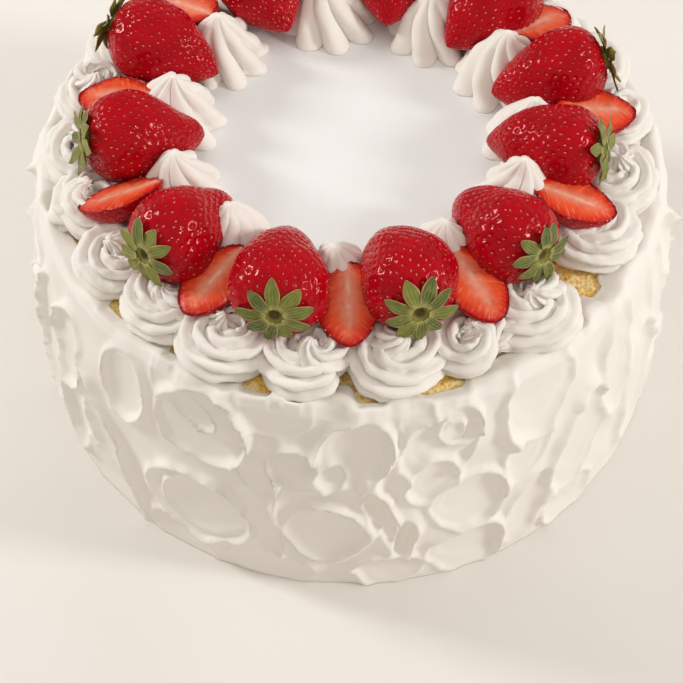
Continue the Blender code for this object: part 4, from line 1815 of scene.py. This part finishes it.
@dataclass
class WholeStrawberries:
    """The whole strawberries, lying with the tip to the middle of the cake."""

    length: float = 39.5
    width: float = 29.0
    pitch: float = 13.0
    rest: float = 0.51
    gap: float = 0.3
    widest: tuple[float, float] = (0.33, 0.38)
    bluntness: tuple[float, float] = (0.62, 0.72)
    # Wavelength and height of what makes each fruit its own shape
    lumps: tuple[tuple[float, float], ...] = ((26, 0.8), (11, 0.3))
    dip_depth: float = 1.6
    dip_radius: float = 4.5
    rings: int = 96
    around: int = 156
    crowding: float = 0.35
    crown: Crown = field(default_factory=Crown)

    def fruit(self, whole: WholeFruit, number: int) -> tuple[Surface, float]:
        """Draw one fruit with its dents and seeds, the middle of its length at the origin.

        Args:
            whole: its place and size.
            number: its number, which seeds its unevenness.

        Returns:
            The fruit's surface and its length.
        """
        draw = np.random.default_rng(500 + number)
        profile = FruitProfile(
            self.length * whole.size,
            self.width * whole.size,
            draw.uniform(*self.widest),
            draw.uniform(*self.bluntness),
        )
        lattice = SeedLattice(profile)
        share = profile.even_shares(self.rings)[:, None]
        # The columns crowd on the upper side, which is the one that shows
        angle = np.linspace(0, 2 * math.pi, self.around, endpoint=False)
        angle = angle + self.crowding * np.cos(angle)
        skin = self.shaped(profile.point(share, angle[None, :]), profile, number)
        shares, angles = lattice.places()
        seeds = self.shaped(profile.point(shares, angles), profile, number)
        depth, dent = lattice.dents(skin, seeds, shares)
        normals = grid_normals(skin)
        marks = np.stack(np.broadcast_arrays(share, dent, 0.0), axis=-1)
        body = loft(skin - normals * depth[..., None], marks=np.array(marks, dtype=float))
        rows = np.abs(share[:, 0][:, None] - shares[None, :]).argmin(axis=0)
        columns = np.abs(np.sin((angle[:, None] - angles[None, :]) / 2)).argmin(axis=0)
        keep = (shares > 0.04) & (shares < 0.985)
        husks = lattice.husks(seeds[keep], normals[rows, columns][keep], slot=1)
        return joined([body, husks]), profile.length

    def shaped(self, points: Array, profile: FruitProfile, number: int) -> Array:
        """Make a turned form as uneven as a grown fruit.

        Args:
            points: points of the turned form.
            profile: its outline.
            number: the fruit's number, which seeds its unevenness.

        Returns:
            The moved points.
        """
        draw = np.random.default_rng(600 + number)
        lumps = heaped((620 + number, 640 + number), self.lumps, points)
        radial = points * np.array([0.0, 1.0, 1.0])
        reach = np.linalg.norm(radial, axis=-1, keepdims=True)
        moved = points + radial / np.maximum(reach, 0.5) * lumps[..., None] * np.minimum(reach / 8, 1)
        share = 0.5 - points[..., 0] / profile.length
        bend = draw.uniform(-1.5, 1.5)
        moved[..., 1] += bend * share**2
        dip = self.dip_depth * np.exp(-((reach[..., 0] / self.dip_radius) ** 2)) * (share < 0.5)
        moved[..., 0] -= dip
        return moved

    def build(self) -> None:
        """Make each fruit and its crown and dress them."""
        for number, whole in enumerate(WHOLE_FRUIT, start=1):
            fruit, length = self.fruit(whole, number)
            height = SHEET_TOP + self.gap + self.rest * self.width * whole.size
            place = place_at(whole.azimuth, whole.distance, height, whole.yaw, self.pitch)
            node = f"strawberry_{number:02d}"
            make_piece(f"ripe_fruit_{number:02d}", fruit.moved(place), [SKIN, SEED], node)
            crown = self.crown.surface(whole, number)
            foot = place @ Matrix.Translation((length / 2 - 0.4, 0, 0))
            make_piece(f"leaf_crown_{number:02d}", crown.moved(foot), [SEPAL, SCAR], node)


@dataclass(frozen=True)
class HalfFruit:
    """Where a half lies: azimuth, distance of its middle, yaw and roll about its length."""

    azimuth: float
    distance: float
    yaw: float
    roll: float


HALF_FRUIT = (
    HalfFruit(137, 77.5, 4, 0),
    HalfFruit(172, 76.5, -6, 5),
    HalfFruit(204, 78.5, -12, 25),
    HalfFruit(238, 77.5, -8, 6),
    HalfFruit(269.5, 75, 2, 0),
    HalfFruit(299, 77, 2, -5),
    HalfFruit(334, 77.5, 12, -5),
    HalfFruit(363, 79.5, 8, 0),
    HalfFruit(395, 77.5, 8, 0),
    HalfFruit(422, 77.5, 0, 5),
    HalfFruit(458, 77.5, 0, -5),
)


@dataclass
class StrawberryHalves:
    """The halves between the whole fruit: cut face up, tip outwards."""

    length: float = 28.0
    width: float = 19.5
    depth: float = 8.5
    face_height: float = 110.0
    slope: float = 14.0
    dome: float = 0.5
    edge: float = 0.5
    widest: tuple[float, float] = (0.46, 0.54)
    bluntness: tuple[float, float] = (0.5, 0.58)
    lump_mm: float = 14.0
    lump_share: float = 0.035
    rings: int = 56
    around: int = 64

    def surface(self, number: int) -> Surface:
        """Draw one half, cut face up in the plane of its axis, tip at +X.

        Args:
            number: its number, which seeds its unevenness.

        Returns:
            The half's surface, with skin, seeds and flesh.
        """
        draw = np.random.default_rng(800 + number)
        widest, bluntness = draw.uniform(*self.widest), draw.uniform(*self.bluntness)
        profile = FruitProfile(self.length, self.width, widest, bluntness)
        lattice = SeedLattice(profile, dent_depth=0.35, spacing_wide=2.4, spacing_tip=1.8)
        share = profile.even_shares(self.rings)[:, None]
        angle = np.linspace(0, 2 * math.pi, self.around, endpoint=False)[None, :]
        squash = self.depth / (self.width / 2)

        skin = self.turned(profile.point(share, angle), number, squash)
        shares, angles = lattice.places()
        seeds = self.turned(profile.point(shares, angles), number, squash)
        depth, dent = lattice.dents(skin, seeds, shares)
        normals = grid_normals(skin)
        sunk = skin - normals * depth[..., None]

        across = np.cos(angle) + 0 * share
        outline = np.concatenate([skin[:, 0, :2], skin[::-1, self.around // 2, :2]])
        gaps = np.linalg.norm(skin[..., None, :2] - outline, axis=-1).min(axis=-1)
        above = np.broadcast_to(np.sin(angle) > -1e-6, share.shape[:1] + angle.shape[1:])
        dome = self.dome * np.minimum(gaps / 3, 1) + 0.15 * Unevenness(830 + number, 4).at(skin)
        sunk[..., 2] = np.where(above, dome - self.edge, np.minimum(sunk[..., 2], 0.0))
        marks = np.stack(np.broadcast_arrays(share, np.where(above, across, dent), gaps), axis=-1)
        body = loft(sunk, marks=np.array(marks, dtype=float))
        on_face = np.append(above.ravel(), [True, True])
        body.slots = np.where(on_face[body.triangles].all(axis=1), 2, 0)

        rows = np.abs(share[:, 0][:, None] - shares[None, :]).argmin(axis=0)
        columns = np.rint(angles / (2 * math.pi) * self.around).astype(int) % self.around
        keep = (np.sin(angles) < -0.02) & (shares > 0.05) & (shares < 0.98)
        husks = lattice.husks(seeds[keep], normals[rows, columns][keep], slot=1)
        return joined([body, husks])

    def turned(self, points: Array, number: int, squash: float) -> Array:
        """Turn the tip to +X, flatten the form and make it uneven.

        Args:
            points: points of the turned form.
            number: the half's number, which seeds its unevenness.
            squash: depth against half the width.

        Returns:
            The moved points.
        """
        lumps = 1 + self.lump_share * Unevenness(820 + number, self.lump_mm).at(points)
        moved = points * np.array([-1.0, 1.0, squash])
        moved[..., 1:] *= lumps[..., None]
        return moved

    def build(self) -> None:
        """Make each half and dress it."""
        for number, half in enumerate(HALF_FRUIT, start=1):
            place = place_at(
                half.azimuth, half.distance, self.face_height, half.yaw, -self.slope, half.roll
            )
            surface = self.surface(number).moved(place)
            node = f"strawberry_half_{number:02d}"
            make_piece(f"cut_fruit_{number:02d}", surface, [SKIN, SEED, FLESH], node)


# Floor, light and camera


@dataclass(frozen=True)
class Lamp:
    """A soft box: where it hangs and its size in metres, its power, and whether wet skin mirrors it.

    The fruit mirrors the two small windows only: a wide box would lay a milky veil over the skin.
    """

    name: str
    place: tuple[float, float, float]
    size: tuple[float, float]
    power: float
    mirrored: bool = True


LAMPS = (
    Lamp("window_right", (1.2, -0.3, 0.72), (0.21, 0.32), 8.2),
    Lamp("window_left", (-1.0, 0.3, 0.7), (0.21, 0.3), 7.2),
    Lamp("wide_window_back", (0.4, 1.5, 1.1), (1.7, 0.9), 6.0, False),
    Lamp("soft_box_above", (0.0, -0.35, 1.9), (1.5, 1.5), 5.6, False),
)


@dataclass
class Studio:
    """The plain pale floor, the soft light and the camera at the photograph's angle, in metres."""

    floor_size: float = 24.0
    camera_place: tuple[float, float, float] = (0.0, -0.4006, 0.5323)
    camera_tilt: float = 36.41
    focal_px: float = 1800.0
    image_px: float = 683.0
    middle_px: float = 350.7
    sensor_mm: float = 36.0
    sky: str = "#FBF2E7"
    sky_level: float = 0.5
    sky_lean: tuple[float, float, float] = (0.05, -0.17, 0.0)

    def build(self) -> None:
        """Make the floor, the lamps, the sky and the camera."""
        self.make_floor()
        for lamp in LAMPS:
            self.make_lamp(lamp)
        self.make_sky()
        self.make_camera()
        bpy.context.scene.view_settings.view_transform = "Standard"

    def make_floor(self) -> None:
        """Make the floor as a plain sheet, which is no part of the cake."""
        half = self.floor_size / 2
        mesh = bpy.data.meshes.new("pale_floor")
        corners = [(-half, -half, 0), (half, -half, 0), (half, half, 0), (-half, half, 0)]
        mesh.from_pydata(corners, [], [(0, 1, 2, 3)])
        mesh.materials.append(FLOOR.material())
        floor = bpy.data.objects.new("pale_floor", mesh)
        bpy.context.scene.collection.objects.link(floor)

    def make_lamp(self, lamp: Lamp) -> None:
        """Hang one soft box so that it faces the cake.

        Args:
            lamp: the soft box.
        """
        light = bpy.data.lights.new(lamp.name, "AREA")
        light.shape = "RECTANGLE"
        light.size, light.size_y = lamp.size
        light.energy = lamp.power
        item = bpy.data.objects.new(lamp.name, light)
        item.visible_glossy = lamp.mirrored
        item.location = lamp.place
        aim = Vector((0, 0, 0.08)) - Vector(lamp.place)
        item.rotation_euler = aim.to_track_quat("-Z", "Y").to_euler()
        bpy.context.scene.collection.objects.link(item)

    def make_sky(self) -> None:
        """Fill the room with soft light, brighter in front and a little brighter on the right."""
        world = bpy.data.worlds.new("soft_room")
        world.use_nodes = True
        tree = world.node_tree
        sky = tree.nodes["Background"]
        sky.inputs["Color"].default_value = linear(self.sky)
        place = add_node(tree, "ShaderNodeTexCoord")
        lean = add_node(
            tree,
            "ShaderNodeVectorMath",
            values={1: self.sky_lean},
            links={0: place.outputs["Generated"]},
            operation="DOT_PRODUCT",
        )
        level = add_node(
            tree,
            "ShaderNodeMath",
            values={1: self.sky_level},
            links={0: lean.outputs["Value"]},
            operation="ADD",
        )
        tree.links.new(level.outputs["Value"], sky.inputs["Strength"])
        bpy.context.scene.world = world

    def make_camera(self) -> None:
        """Set the camera at the photograph's angle."""
        lens = bpy.data.cameras.new("photo_camera")
        lens.sensor_width = self.sensor_mm
        lens.lens = self.sensor_mm * self.focal_px / self.image_px
        lens.shift_x = (self.image_px / 2 - self.middle_px) / self.image_px
        camera = bpy.data.objects.new("photo_camera", lens)
        camera.location = self.camera_place
        camera.rotation_euler = (math.radians(self.camera_tilt), 0, 0)
        bpy.context.scene.collection.objects.link(camera)
        bpy.context.scene.camera = camera


def main() -> None:
    """Build and dress the cake from the inside out, then its floor, light and camera."""
    logging.basicConfig(level=logging.INFO, format="%(name)s: %(message)s")
    builders = (
        Sponge(),
        SideCream(),
        TopCream(),
        PipedRosettes(),
        PipedDrops(),
        WholeStrawberries(),
        StrawberryHalves(),
        Studio(),
    )
    for builder in builders:
        LOG.info("building %s", type(builder).__name__)
        builder.build()


if __name__ == "__main__":
    main()
